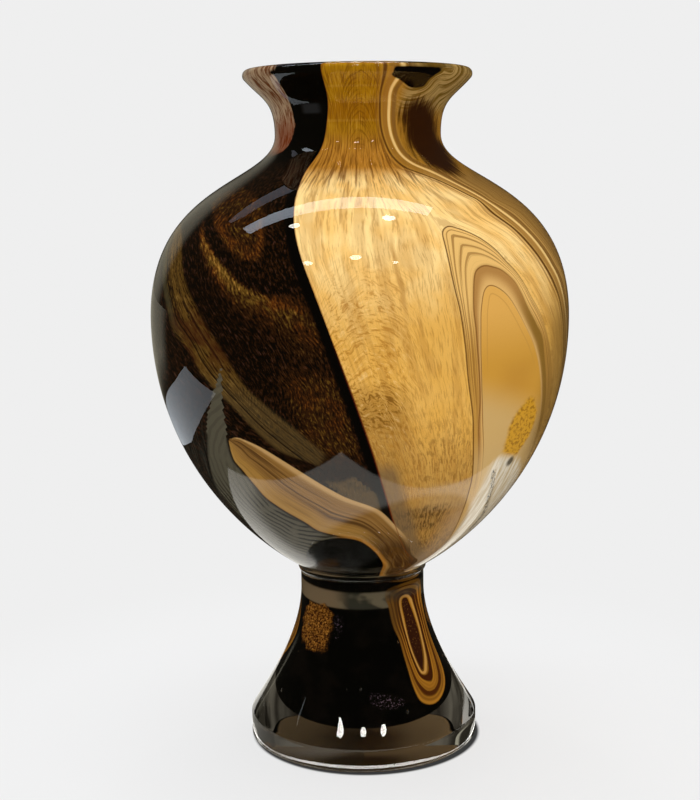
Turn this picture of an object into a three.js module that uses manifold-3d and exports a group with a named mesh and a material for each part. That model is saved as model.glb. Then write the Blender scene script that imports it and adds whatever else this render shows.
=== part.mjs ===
// A footed art glass vase in millimetres, +Z up, with the origin at the centre of its base and its front towards -Y.
// It is hot-worked in layers. The bowl has a clear lining, a marbled layer of dark and ochre glass, and a clear
// casing that rolls over both at the lip. A glass ring covers its joint with the bell foot, which is thick clear
// glass round a marbled core.
import * as THREE from "three";
import { mergeVertices, toCreasedNormals } from "three/addons/utils/BufferGeometryUtils.js";
import Module from "manifold-3d";

// Outer shape: radii, and the rise of each stretch above the one below it
const footRadius = 57;
const footBevel = 1.5;
const footEdgeHeight = 12;
const waistRadius = 30.8;
const waistBandHeight = 12.3;
const footHeight = 89.3;
const bowlBaseStep = 0.8;
const bellyRadius = 101.4;
const bowlRise = 122.5;
const neckRadius = 39.8;
const shoulderRise = 87.6;
const lipFlare = 15;
const lipRise = 30.6;

// Slopes from the vertical, in degrees: the bowl where it leaves the waist, and the lip where it flares out
const bowlBaseSlope = 64;
const lipSlope = 42;

// How far each curve runs on along its first and last direction, as shares of its height
const footFullness = [0.03, 0.45];
const bowlFullness = [0.06, 0.66];
const shoulderFullness = [0.77, 0.26];
const flareFullness = [0.63, 0.48];
const throatFullness = [0.75, 0.5];
const coreFullness = [0.7, 0.33];
const floorFullness = [0.3, 0.25];

// Walls of the bowl
const casingAtBelly = 3.9;
const casingAtLip = 2.4;
const colourThickness = 1.2;
const liningThickness = 1.4;
const bowlFloorThickness = 17.7;
const colourRiseIntoLip = 0.8;

// Clear glass of the foot round its marbled core
const footWallAtWaist = 10;
const footWallAtBase = 24.5;
const footPadThickness = 10;
const coreEdgeRound = 3;

// Ring at the waist
const ringProud = 1.2;
const ringHeight = 3.2;
const ringSeatDepth = 2.4;

// Clearances between neighbouring pieces of glass
const layerGap = 0.3;
const seamGap = 0.45;

// Where dark glass meets ochre glass: the angle in degrees, from the front towards +X, at shares of the bowl's height
const frontSeam = [
  [-0.05, 48], [0.03, 38], [0.08, 22], [0.14, 13], [0.22, 7], [0.33, 1.5], [0.47, -5.4],
  [0.59, -12], [0.7, -20], [0.765, -25], [0.8, -27.5], [0.84, -25.5], [0.88, -23], [0.95, -19], [1.05, -17],
];
const backSeam = [
  [-0.05, 150], [0.1, 142], [0.25, 122], [0.45, 112], [0.65, 126], [0.8, 150], [0.9, 158], [1.05, 150],
];

// Fineness of the facets
const turnSteps = 36;
const bowlSteps = 8;
const shoulderSteps = 8;
const flareSteps = 4;
const lipOuterSteps = 4;
const lipInnerSteps = 2;
const throatSteps = 4;
const footSteps = 7;
const coreSteps = 6;
const coreEdgeSteps = 2;
const ringSteps = 4;
const wedgeTurnSteps = 12;

const point = (radius, height) => new THREE.Vector2(radius, height);
const radians = THREE.MathUtils.degToRad;
const upwards = point(0, 1);
const level = point(1, 0);
const alongSlope = (degrees) => point(Math.sin(radians(degrees)), Math.cos(radians(degrees)));
const moved = (start, direction, distance) => start.clone().addScaledVector(direction, distance);

// A curve between two stations that leaves and arrives along given directions
function sweep(start, startDirection, end, endDirection, fullness, reach) {
  return new THREE.CubicBezierCurve(
    start,
    moved(start, startDirection, fullness[0] * reach),
    moved(end, endDirection, -fullness[1] * reach),
    end,
  );
}

// Stations of a curve: each is a point, the direction of travel and the direction into the wall, on its left
function stations(curve, steps) {
  return Array.from({ length: steps + 1 }, (_, i) => {
    const along = curve.getTangent(i / steps);
    return { at: curve.getPoint(i / steps), along, inwards: point(-along.y, along.x) };
  });
}

const offsetStations = (list, depthOf) =>
  list.map((station) => ({ ...station, at: moved(station.at, station.inwards, depthOf(station)) }));
const places = (list) => list.map((station) => station.at);

// Heights above the base, and radii that follow from the walls
const waistHeight = footHeight - waistBandHeight;
const bellyHeight = footHeight + bowlRise;
const neckHeight = bellyHeight + shoulderRise;
const totalHeight = neckHeight + lipRise;
const lipRadius = neckRadius + lipFlare;
const coreWaistRadius = waistRadius - footWallAtWaist;
const coreFootRadius = footRadius - footWallAtBase;

// Outer surface of the bowl, from the joint up to where the round lip begins
const lipThickness = casingAtLip + colourThickness + liningThickness + 2 * layerGap;
const lipRound = lipThickness / 2;
const lipCentre = point(lipRadius - lipRound, totalHeight - lipRound);
const lipDirection = alongSlope(lipSlope);
const acrossLip = point(-lipDirection.y, lipDirection.x);
const flareEnd = moved(lipCentre, acrossLip, -lipRound);
const bowlBase = point(waistRadius + bowlBaseStep, footHeight);
const belly = point(bellyRadius, bellyHeight);
const neck = point(neckRadius, neckHeight);
const bowlCurve = sweep(bowlBase, alongSlope(bowlBaseSlope), belly, upwards, bowlFullness, bowlRise);
const shoulderCurve = sweep(belly, upwards, neck, upwards, shoulderFullness, shoulderRise);
const flareCurve = sweep(neck, upwards, flareEnd, lipDirection, flareFullness, flareEnd.y - neckHeight);
const bowlSurface = [
  ...stations(bowlCurve, bowlSteps),
  ...stations(shoulderCurve, shoulderSteps).slice(1),
  ...stations(flareCurve, flareSteps).slice(1),
];

// The casing is thinner towards the lip
function casingDepth(station) {
  const share = THREE.MathUtils.clamp((station.at.y - bellyHeight) / (totalHeight - bellyHeight), 0, 1);
  return THREE.MathUtils.lerp(casingAtBelly, casingAtLip, share);
}

// Outer surface of the marbled layer: a funnel from the core's top, then the bowl's wall under its casing
const throatTopStation = 2;
const underCasing = offsetStations(bowlSurface.slice(throatTopStation), (s) => casingDepth(s) + layerGap);
const throatTop = underCasing[0];
const throatCurve = sweep(
  point(coreWaistRadius, footHeight), upwards, throatTop.at, throatTop.along,
  throatFullness, throatTop.at.y - footHeight,
);
const colourSurface = [...stations(throatCurve, throatSteps).slice(0, -1), ...underCasing];
const casingInside = offsetStations(colourSurface, () => -layerGap);
const colourInside = offsetStations(colourSurface, () => colourThickness);
const liningOutside = offsetStations(colourSurface, () => colourThickness + layerGap);
const liningInside = offsetStations(
  colourSurface.slice(throatSteps + 1), () => colourThickness + layerGap + liningThickness,
);

// Layer ends at the lip, where v runs along the wall from the centre of the round
const last = (list) => list[list.length - 1].at;
const alongLip = (place, v) => moved(place, lipDirection, v);
const slotTop = colourRiseIntoLip + layerGap;

const lipArc = (startAngle, endAngle, steps) =>
  new THREE.EllipseCurve(lipCentre.x, lipCentre.y, lipRound, lipRound, startAngle, endAngle).getPoints(steps);
const roundLip = [
  ...lipArc(-radians(lipSlope), Math.PI / 2, lipOuterSteps),
  ...lipArc(Math.PI / 2, Math.PI - radians(lipSlope), lipInnerSteps).slice(1),
];
const slotInside = moved(last(colourInside), acrossLip, layerGap);
const casingProfile = [
  ...places(bowlSurface).slice(0, -1),
  ...roundLip,
  slotInside,
  alongLip(slotInside, slotTop),
  alongLip(last(casingInside), slotTop),
  ...places(casingInside).slice(0, -1).reverse(),
  bowlBase,
];

const colourProfile = [
  ...places(colourSurface),
  alongLip(last(colourSurface), colourRiseIntoLip),
  alongLip(last(colourInside), colourRiseIntoLip),
  ...places(colourInside).reverse(),
  colourSurface[0].at,
];

const floorRim = liningInside[0];
const floorCurve = sweep(
  point(0, footHeight + bowlFloorThickness), level, floorRim.at, floorRim.along, floorFullness, floorRim.at.x,
);
const liningProfile = [
  point(0, footHeight),
  ...places(liningOutside).slice(0, -1),
  alongLip(last(liningOutside), -layerGap),
  alongLip(last(liningInside), -layerGap),
  ...places(liningInside).slice(0, -1).reverse(),
  ...floorCurve.getPoints(throatSteps).slice(0, -1).reverse(),
];

// Foot: the core, and the clear glass round it up to the joint
const footTop = footHeight - layerGap;
const coreSide = point(coreFootRadius, footPadThickness + coreEdgeRound);
const coreCurve = sweep(
  point(coreWaistRadius, waistHeight), point(0, -1), coreSide, point(0, -1),
  coreFullness, waistHeight - coreSide.y,
);
const coreEdge = new THREE.EllipseCurve(
  coreFootRadius - coreEdgeRound, coreSide.y, coreEdgeRound, coreEdgeRound, 0, -Math.PI / 2, true,
);
// Travelling down puts the core on the right, so a positive offset here is into the clear glass
const coreSurface = [...stations(coreCurve, coreSteps), ...stations(coreEdge, coreEdgeSteps).slice(1)];
const coreSeat = offsetStations(coreSurface, () => layerGap);
const coreProfile = [
  point(0, footPadThickness),
  ...places(coreSurface).reverse(),
  point(coreWaistRadius, footTop),
  point(0, footTop),
];

const ringBottom = footTop - ringHeight;
const seatRadius = waistRadius - ringSeatDepth;
const footCurve = sweep(
  point(footRadius, footEdgeHeight), upwards, point(waistRadius, waistHeight), upwards,
  footFullness, waistHeight - footEdgeHeight,
);
const footProfile = [
  point(0, 0),
  point(footRadius - footBevel, 0),
  point(footRadius, footBevel),
  ...footCurve.getPoints(footSteps),
  point(waistRadius, ringBottom - layerGap),
  point(seatRadius, ringBottom - layerGap),
  point(seatRadius, footTop),
  point(coreWaistRadius + layerGap, footTop),
  ...places(coreSeat),
  point(0, footPadThickness - layerGap),
];

const ringBead = new THREE.EllipseCurve(
  waistRadius, footTop - ringHeight / 2, ringProud, ringHeight / 2, -Math.PI / 2, Math.PI / 2,
);
const ringProfile = [
  point(seatRadius + layerGap, ringBottom),
  ...ringBead.getPoints(ringSteps),
  point(seatRadius + layerGap, footTop),
  point(seatRadius + layerGap, ringBottom),
];

// LatheGeometry turns about Y, and this stands it up along Z
const turned = (profile) => new THREE.LatheGeometry(profile, turnSteps).rotateX(Math.PI / 2);

const wasm = await Module();
wasm.setup();

function toSolid(geometry) {
  const bare = geometry.clone();
  bare.deleteAttribute("normal");
  bare.deleteAttribute("uv");
  const merged = mergeVertices(bare);
  return new wasm.Manifold(new wasm.Mesh({
    numProp: 3,
    vertProperties: new Float32Array(merged.attributes.position.array),
    triVerts: new Uint32Array(merged.index.array),
  }));
}

function toGeometry(solid) {
  const mesh = solid.getMesh();
  const geometry = new THREE.BufferGeometry();
  geometry.setAttribute("position", new THREE.BufferAttribute(mesh.vertProperties, 3));
  geometry.setIndex(new THREE.BufferAttribute(mesh.triVerts, 1));
  return toCreasedNormals(geometry, radians(30));
}

// Angle of a seam at a height, and how far in angle half of the seam's gap reaches there
function seamAngle(seam, share) {
  const next = Math.max(1, seam.findIndex(([at]) => at >= share));
  const [[lowShare, lowAngle], [highShare, highAngle]] = [seam[next - 1], seam[next]];
  return radians(THREE.MathUtils.mapLinear(share, lowShare, highShare, lowAngle, highAngle));
}

function halfGapAngle(height) {
  const above = Math.max(1, colourSurface.findIndex((station) => station.at.y >= height));
  return seamGap / 2 / colourSurface[above - 1].at.x;
}

// A ring sector whose two walls follow seams; the marbled layer is cut with it into its fields of colour
function seamWedge(startSeam, endSeam, wholeTurns) {
  const nearAxis = coreWaistRadius / 2;
  const beyondBowl = bellyRadius * 1.3;
  const shares = [...new Set([...startSeam, ...endSeam].map(([share]) => share))].sort((a, b) => a - b);
  const positions = [];
  shares.forEach((share) => {
    const height = THREE.MathUtils.lerp(footHeight, totalHeight, share);
    const start = seamAngle(startSeam, share) + halfGapAngle(height);
    const end = seamAngle(endSeam, share) + 2 * Math.PI * wholeTurns - halfGapAngle(height);
    for (let step = 0; step <= wedgeTurnSteps; step++) {
      const angle = THREE.MathUtils.lerp(start, end, step / wedgeTurnSteps);
      for (const radius of [nearAxis, beyondBowl]) {
        positions.push(radius * Math.sin(angle), -radius * Math.cos(angle), height);
      }
    }
  });
  const index = [];
  const quad = (a, b, c, d) => index.push(a, b, c, a, c, d);
  const corner = (row, step, outer) => (row * (wedgeTurnSteps + 1) + step) * 2 + outer;
  const rows = shares.length - 1;
  for (let step = 0; step < wedgeTurnSteps; step++) {
    quad(corner(0, step, 0), corner(0, step + 1, 0), corner(0, step + 1, 1), corner(0, step, 1));
    quad(corner(rows, step, 0), corner(rows, step, 1), corner(rows, step + 1, 1), corner(rows, step + 1, 0));
    for (let row = 0; row < rows; row++) {
      quad(corner(row, step, 1), corner(row, step + 1, 1), corner(row + 1, step + 1, 1), corner(row + 1, step, 1));
      quad(corner(row, step, 0), corner(row + 1, step, 0), corner(row + 1, step + 1, 0), corner(row, step + 1, 0));
    }
  }
  for (let row = 0; row < rows; row++) {
    quad(corner(row, 0, 0), corner(row, 0, 1), corner(row + 1, 0, 1), corner(row + 1, 0, 0));
    const end = wedgeTurnSteps;
    quad(corner(row, end, 0), corner(row + 1, end, 0), corner(row + 1, end, 1), corner(row, end, 1));
  }
  const geometry = new THREE.BufferGeometry();
  geometry.setAttribute("position", new THREE.Float32BufferAttribute(positions, 3));
  geometry.setIndex(index);
  return toSolid(geometry);
}

const marbledLayer = toSolid(turned(colourProfile));
const ochreField = marbledLayer.intersect(seamWedge(frontSeam, backSeam, 0));
const darkField = marbledLayer.intersect(seamWedge(backSeam, frontSeam, 1));

const clearGlass = { color: 0xe9ece6, roughness: 0.04, metalness: 0, transparent: true, opacity: 0.3 };
const ringGlass = { color: 0xd9dcd2, roughness: 0.04, metalness: 0, transparent: true, opacity: 0.45 };
const darkGlass = { color: 0x1c130c, roughness: 0.12, metalness: 0 };
const ochreGlass = { color: 0xd0994a, roughness: 0.15, metalness: 0 };
const coreGlass = { color: 0x241608, roughness: 0.12, metalness: 0 };

function piece(name, geometry, finish) {
  const mesh = new THREE.Mesh(geometry, new THREE.MeshStandardMaterial(finish));
  mesh.name = name;
  return mesh;
}

const vase = new THREE.Group();
vase.add(
  piece("clear_foot", turned(footProfile), clearGlass),
  piece("marbled_foot_core", turned(coreProfile), coreGlass),
  piece("waist_ring", turned(ringProfile), ringGlass),
  piece("clear_lining", turned(liningProfile), clearGlass),
  piece("dark_glass_field", toGeometry(darkField), darkGlass),
  piece("ochre_glass_field", toGeometry(ochreField), ochreGlass),
  piece("clear_casing", turned(casingProfile), clearGlass),
);

export default vase;
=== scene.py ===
import bpy
import numpy as np
from mathutils import Euler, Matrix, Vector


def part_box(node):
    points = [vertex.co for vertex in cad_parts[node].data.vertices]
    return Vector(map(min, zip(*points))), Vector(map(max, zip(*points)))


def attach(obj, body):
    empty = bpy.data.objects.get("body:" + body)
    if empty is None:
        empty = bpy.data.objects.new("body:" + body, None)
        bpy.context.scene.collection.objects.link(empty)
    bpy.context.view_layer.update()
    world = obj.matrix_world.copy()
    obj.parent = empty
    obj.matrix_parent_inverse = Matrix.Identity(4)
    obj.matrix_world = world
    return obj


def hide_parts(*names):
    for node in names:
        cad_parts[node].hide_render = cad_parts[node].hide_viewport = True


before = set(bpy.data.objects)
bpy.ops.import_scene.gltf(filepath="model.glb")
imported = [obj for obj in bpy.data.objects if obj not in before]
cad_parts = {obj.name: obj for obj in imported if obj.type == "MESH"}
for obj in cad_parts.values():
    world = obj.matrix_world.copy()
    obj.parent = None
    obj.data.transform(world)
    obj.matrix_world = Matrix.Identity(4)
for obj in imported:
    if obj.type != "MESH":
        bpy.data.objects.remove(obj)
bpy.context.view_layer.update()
print("frame loaded:", sorted(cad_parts))

scene = bpy.context.scene
mm = 0.001
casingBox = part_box("clear_casing")
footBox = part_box("clear_foot")
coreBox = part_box("marbled_foot_core")
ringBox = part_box("waist_ring")

# The outline and the walls. Fullness is how far a curve runs on along its first and last direction.
outline = dict(
    footRadius=footBox[1].x, footTop=footBox[1].z, footBevel=1.5 * mm, footEdgeHeight=12 * mm,
    footFullness=(0.03, 0.45), waistRadius=30.8 * mm, waistHeight=77 * mm,
    baseRadius=31.6 * mm, baseHeight=casingBox[0].z, baseSlope=64, bowlFullness=(0.06, 0.66),
    bellyRadius=casingBox[1].x, bellyHeight=211.8 * mm, shoulderFullness=(0.77, 0.26),
    neckRadius=39.8 * mm, neckHeight=299.4 * mm, flareFullness=(0.63, 0.48),
    lipRadius=54.8 * mm, lipSlope=42, lipRound=2.8 * mm, topHeight=casingBox[1].z,
    fuse=0.05 * mm, points=900,
)


# A cubic curve from start to end, by
# (1-t)^3 start + 3(1-t)^2 t (start + handle) + 3(1-t) t^2 (end - handle) + t^3 end
def sweep(start, startWay, end, endWay, fullness, reach, count=200):
    t = np.linspace(0, 1, count)[:, None]
    start, end = np.array(start, float), np.array(end, float)
    first = start + np.array(startWay) * fullness[0] * reach
    second = end - np.array(endWay) * fullness[1] * reach
    return (1 - t) ** 3 * start + 3 * (1 - t) ** 2 * t * first + 3 * (1 - t) * t**2 * second + t**3 * end


# Points of a round stretch about a centre, from one angle to another, in degrees from level
def roundStretch(centre, radius, startAngle, endAngle, count):
    angle = np.radians(np.linspace(startAngle, endAngle, count))
    return np.array(centre) + radius * np.stack([np.cos(angle), np.sin(angle)], 1)


# The direction at a number of degrees from the vertical
def slopeWay(degrees):
    return np.array([np.sin(np.radians(degrees)), np.cos(np.radians(degrees))])


# The direction from one point to another, of length 1
def wayTo(start, end):
    return (end - start) / np.linalg.norm(end - start)


# Length along a line of points, from its start
def lengthAlong(line):
    return np.concatenate([[0], np.cumsum(np.linalg.norm(np.diff(line, axis=0), axis=1))])


# The same line with its points evenly spaced
def evenly(line, count):
    length = lengthAlong(line)
    wanted = np.linspace(0, length[-1], count)
    return np.stack([np.interp(wanted, length, line[:, axis]) for axis in (0, 1)], 1)


# A line moved square to itself, to the left of its travel, which is into the wall
def offsetLine(line, depth):
    along = np.gradient(line, axis=0)
    along /= np.linalg.norm(along, axis=1)[:, None]
    inwards = np.stack([-along[:, 1], along[:, 0]], 1)
    return line + inwards * np.broadcast_to(depth, len(line))[:, None]


# Outer surface of the bowl, from its joint with the foot to where the round lip begins
up = np.array([0.0, 1.0])
lipWay = slopeWay(outline["lipSlope"])
acrossLip = np.array([-lipWay[1], lipWay[0]])
lipCentre = np.array([outline["lipRadius"], outline["topHeight"]]) - outline["lipRound"]
flareEnd = lipCentre - acrossLip * outline["lipRound"]
bowlBase = (outline["baseRadius"], outline["baseHeight"])
belly = (outline["bellyRadius"], outline["bellyHeight"])
neck = (outline["neckRadius"], outline["neckHeight"])
bowlRise = belly[1] - bowlBase[1]
bowlCurve = sweep(bowlBase, slopeWay(outline["baseSlope"]), belly, up, outline["bowlFullness"], bowlRise)
shoulderCurve = sweep(belly, up, neck, up, outline["shoulderFullness"], neck[1] - belly[1])
flareCurve = sweep(neck, up, flareEnd, lipWay, outline["flareFullness"], flareEnd[1] - neck[1])
bowlLine = evenly(np.vstack([bowlCurve, shoulderCurve[1:], flareCurve[1:]]), outline["points"])

# The marbled layer under the casing: a funnel up from the core, then the wall of the bowl
layer = dict(
    casingAtBelly=3.9 * mm, casingAtLip=2.4 * mm, gap=0.3 * mm, colour=1.2 * mm, lining=1.4 * mm,
    throatRadius=20.8 * mm, throatFullness=(0.75, 0.5), throatTopShare=0.25, riseIntoLip=0.8 * mm,
    floorHeight=107 * mm, floorFullness=(0.3, 0.25), floorPoints=40, liningStartShare=0.375,
)


# The height at a share of the curve from the joint to the belly
def bowlHeight(share):
    return bowlCurve[int(share * (len(bowlCurve) - 1)), 1]


jointHeight = (outline["footTop"] + outline["baseHeight"]) / 2
wallShare = np.clip((bowlLine[:, 1] - belly[1]) / (outline["topHeight"] - belly[1]), 0, 1)
casingDepth = layer["casingAtBelly"] + (layer["casingAtLip"] - layer["casingAtBelly"]) * wallShare
underCasing = offsetLine(bowlLine, casingDepth + layer["gap"])
overThroat = bowlLine[:, 1] >= bowlHeight(layer["throatTopShare"])
wallPart, wallHeights = underCasing[overThroat], bowlLine[overThroat, 1]
throat = sweep(
    (layer["throatRadius"], outline["baseHeight"]), up, wallPart[0], wayTo(*wallPart[:2]),
    layer["throatFullness"], wallPart[0][1] - outline["baseHeight"],
)
colourLine = np.vstack([
    [[layer["throatRadius"], jointHeight]], throat, wallPart[1:],
    [wallPart[-1] + lipWay * layer["riseIntoLip"]],
])
print("outline worked out, layer length %.1f mm" % (lengthAlong(colourLine)[-1] / mm))


# A mesh object in the scene, from points and the faces that index them
def addMesh(name, points, faces):
    mesh = bpy.data.meshes.new(name)
    mesh.from_pydata(points, [], faces)
    made = bpy.data.objects.new(name, mesh)
    scene.collection.objects.link(made)
    return made


# A piece of the vase, shaded smooth
def pieceFrom(name, points, faces):
    piece = addMesh(name, points, faces)
    piece.data.polygons.foreach_set("use_smooth", np.ones(len(piece.data.polygons), bool))
    piece.data.validate()
    return piece


# Quads between neighbouring rows and columns of a grid; a closed direction wraps round
def gridFaces(rows, columns, closedRows, closedColumns, first=0, flip=False):
    row = np.arange(rows if closedRows else rows - 1)[:, None]
    left = np.arange(columns if closedColumns else columns - 1)[None, :]
    low, high, right = row * columns, (row + 1) % rows * columns, (left + 1) % columns
    faces = np.stack([low + left, low + right, high + right, high + left], 2).reshape(-1, 4) + first
    return faces[:, ::-1] if flip else faces


# Places on a surface of revolution: radius and height arrays turned to angles in radians from the front
def turnedPoints(radius, height, angle):
    radius, height, angle = np.broadcast_arrays(radius, height, angle)
    return np.stack([radius * np.sin(angle), -radius * np.cos(angle), height], -1)


# A solid of revolution from a line that goes round its section with the solid on the left
def turnedShell(line, columns):
    onAxis = not line[[0, -1], 0].any()
    rows = len(line)
    angle = np.linspace(0, 2 * np.pi, columns, endpoint=False)[None, :]
    if not onAxis:
        points = turnedPoints(line[:, :1], line[:, 1:], angle)
        return points.reshape(-1, 3), gridFaces(rows, columns, True, True).tolist()
    inner = line[1:-1]
    points = turnedPoints(inner[:, :1], inner[:, 1:], angle).reshape(-1, 3)
    poles = np.array([[0, 0, line[0, 1]], [0, 0, line[-1, 1]]])
    low, high = len(points), len(points) + 1
    around = np.arange(columns)
    after = (around + 1) % columns
    lastRow = (rows - 3) * columns
    faces = gridFaces(rows - 2, columns, False, True).tolist()
    faces += np.stack([np.full(columns, low), after, around], 1).tolist()
    faces += np.stack([np.full(columns, high), lastRow + around, lastRow + after], 1).tolist()
    return np.vstack([points, poles]), faces


def turnedPiece(name, line, columns):
    return pieceFrom(name, *turnedShell(line, columns))


# A corner of a section, rounded over a small radius between the directions to its neighbours
def roundedCorner(before, corner, after, radius, count=4):
    before, corner, after = (np.array(p, float) for p in (before, corner, after))
    start, end = (corner + wayTo(corner, p) * radius for p in (before, after))
    t = np.linspace(0, 1, count)[:, None]
    return (1 - t) ** 2 * start + 2 * (1 - t) * t * corner + t**2 * end


# Clear casing: the outer surface, the round lip, and an inner face that lies hidden in the marbled layer
casing = dict(rows=200, columns=256, lipPoints=14, slotRise=0.7, hiddenDrop=0.3)


def makeCasing():
    hidden = evenly(offsetLine(colourLine, layer["colour"] / 3), casing["rows"])
    outer = evenly(bowlLine, casing["rows"])[:-1]
    slope = outline["lipSlope"]
    lip = roundStretch(lipCentre, outline["lipRound"], -slope, 180 - slope, casing["lipPoints"])
    slotFoot = wallPart[-1] + acrossLip * (layer["colour"] * 2 / 3)
    slotTop = slotFoot + lipWay * layer["riseIntoLip"] * casing["slotRise"]
    hiddenTop = hidden[-1] - lipWay * layer["riseIntoLip"] * casing["hiddenDrop"]
    bottom = jointHeight - outline["fuse"]
    line = np.vstack([
        [[outer[0, 0], bottom]], outer, lip, [slotFoot], [slotTop], [hiddenTop], hidden[1:-1][::-1],
        [[hidden[0, 0], bottom]],
    ])
    return turnedPiece("clear_casing_glass", line, casing["columns"])


# Clear lining: the inside of the bowl with its thick floor; its outer face lies hidden in the marbled layer
lining = dict(rows=180, columns=192, plugRadius=20 * mm)


def makeLining():
    insideDepth = layer["colour"] + layer["gap"] + layer["lining"]
    insideWall = offsetLine(wallPart, insideDepth)[wallHeights >= bowlHeight(layer["liningStartShare"])]
    floor = sweep(
        (0, layer["floorHeight"]), (1, 0), insideWall[0], wayTo(*insideWall[:2]),
        layer["floorFullness"], insideWall[0][0], layer["floorPoints"],
    )
    inside = evenly(np.vstack([floor, insideWall[1:]]), lining["rows"])
    inside[-1] = insideWall[-1] + lipWay * outline["fuse"]
    hidden = evenly(offsetLine(np.vstack([throat, wallPart[1:]]), layer["colour"] * 2 / 3), lining["rows"])
    hidden[-1] = hidden[-1] + lipWay * outline["fuse"]
    bottom = jointHeight - layer["gap"]
    line = np.vstack([[[0, bottom]], [[lining["plugRadius"], bottom]], hidden[1:], inside[::-1]])
    return turnedPiece("clear_lining_glass", line, lining["columns"])


# Foot: the core, the clear bell round it, and the ring at the waist
core = dict(
    waistRadius=20.8 * mm, sideRadius=coreBox[1].x, bottom=coreBox[0].z, edgeRound=3 * mm, edgePoints=16,
    fullness=(0.7, 0.33), rows=150, columns=288, hairStep=0.001 * mm,
    firstRing=0.05, underRings=12, topRings=8,
)
foot = dict(
    rows=110, columns=224, edge=0.35 * mm, seatRadius=28.4 * mm,
    baseReach=0.97, basePoints=16, uprightStart=0.1, uprightPoints=6,
    bubbles=26, bubbleRadius=(0.3 * mm, 0.75 * mm), bubbleStretch=1.7, bubbleHeights=(18 * mm, 62 * mm),
    bubbleRoom=2 * mm, bubbleSides=10, bubbleRings=5,
)
ring = dict(bottom=ringBox[0].z, proudRadius=ringBox[1].x, inset=0.2 * mm, points=15, columns=224)


def coreSide():
    side = (core["sideRadius"], core["bottom"] + core["edgeRound"])
    waist = (core["waistRadius"], outline["waistHeight"])
    curve = sweep(waist, (0, -1), side, (0, -1), core["fullness"], waist[1] - side[1])
    centre = (core["sideRadius"] - core["edgeRound"], side[1])
    return np.vstack([curve, roundStretch(centre, core["edgeRound"], 0, -90, core["edgePoints"])[1:]])


def makeCore():
    radius, bottom, first = core["waistRadius"], core["bottom"], core["firstRing"]
    straight = np.array([[radius, jointHeight - core["hairStep"]]])
    wall = evenly(np.vstack([coreSide()[::-1], straight]), core["rows"])
    under = np.linspace(first, 1, core["underRings"])[:, None] * wall[0] * [1, 0] + [0, bottom]
    cap = np.linspace(1 - first, first, core["topRings"])[:, None] * [radius, 0] + [0, jointHeight]
    line = np.vstack([[[0, bottom]], under[:-1], wall, [[radius, jointHeight]], cap, [[0, jointHeight]]])
    degrees = np.linspace(0, 360, core["columns"], endpoint=False)[None, :] + np.zeros((len(line) - 2, 1))
    degrees = (degrees + 180) % 360 - 180
    return turnedPiece("marbled_core_glass", line, core["columns"]), Sheet(line[1:-1], degrees, wall)


# Seed bubbles in the clear glass between the core and the bell: (centre, radius)
def seedBubbles(side):
    chance, count = np.random.default_rng(11), foot["bubbles"]
    height = chance.uniform(*foot["bubbleHeights"], count)
    coreLine = coreSide()[::-1]
    inner = np.interp(height, coreLine[:, 1], coreLine[:, 0]) + foot["bubbleRoom"]
    outer = np.interp(height, side[:, 1], side[:, 0]) - foot["bubbleRoom"]
    radius = inner + (outer - inner) * chance.uniform(0, 1, count)
    centres = turnedPoints(radius, height, chance.uniform(-np.pi, np.pi, count))
    return zip(centres, chance.uniform(*foot["bubbleRadius"], count))


# The points and faces of one bubble, whose faces look into it; its points are numbered on from first
def bubbleShell(centre, size, first):
    sides, rings = foot["bubbleSides"], foot["bubbleRings"]
    around, pole = np.meshgrid(
        np.linspace(0, 2 * np.pi, sides, endpoint=False), np.linspace(0, np.pi, rings + 2)[1:-1],
    )
    ball = np.stack([np.sin(pole) * np.cos(around), np.sin(pole) * np.sin(around), np.cos(pole)], -1)
    ball = np.vstack([ball.reshape(-1, 3), [[0, 0, 1], [0, 0, -1]]]) * size * [1, 1, foot["bubbleStretch"]]
    upper = first + np.arange(sides)
    upperNext, toLower, top = np.roll(upper, -1), (rings - 1) * sides, first + rings * sides
    faces = gridFaces(rings, sides, False, True, first=first).tolist()
    faces += np.stack([np.full(sides, top), upperNext, upper], 1).tolist()
    faces += np.stack([np.full(sides, top + 1), upper + toLower, upperNext + toLower], 1).tolist()
    return ball + centre, faces


def makeFoot():
    radius, bevel, edge = outline["footRadius"], outline["footBevel"], foot["edge"]
    waist = (outline["waistRadius"], outline["waistHeight"])
    sideStart = (radius, outline["footEdgeHeight"])
    side = sweep(sideStart, up, waist, up, outline["footFullness"], waist[1] - sideStart[1])
    ringSeat = ring["bottom"] - layer["gap"]
    top = jointHeight + outline["fuse"]
    hiddenStep = layer["gap"] + outline["fuse"]
    cavity = evenly(offsetLine(coreSide(), -hiddenStep + layer["gap"]), foot["rows"])
    upright = np.linspace(2 * bevel, outline["footEdgeHeight"] - bevel, foot["uprightPoints"])[:, None]
    toSeat = np.linspace(foot["uprightStart"], 1, foot["uprightPoints"])[:, None]
    line = np.vstack([
        np.linspace(0, foot["baseReach"], foot["basePoints"])[:, None] * [radius - bevel, 0],
        roundedCorner((0, 0), (radius - bevel, 0), (radius, bevel), edge),
        roundedCorner((radius - bevel, 0), (radius, bevel), (radius, 2 * bevel), edge),
        upright * [0, 1] + [radius, 0],
        evenly(side, foot["rows"]),
        toSeat * [0, ringSeat - waist[1]] + waist,
        [[foot["seatRadius"], ringSeat], [foot["seatRadius"], top]],
        [[core["waistRadius"] - hiddenStep, top]],
        cavity + [-hiddenStep, 0],
        [[0, core["bottom"] + outline["fuse"]]],
    ])
    points, faces = turnedShell(line, foot["columns"])
    for centre, size in seedBubbles(side):
        ballPoints, ballFaces = bubbleShell(centre, size, len(points))
        points = np.vstack([points, ballPoints])
        faces += ballFaces
    return pieceFrom("clear_foot_glass", points, faces)


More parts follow.
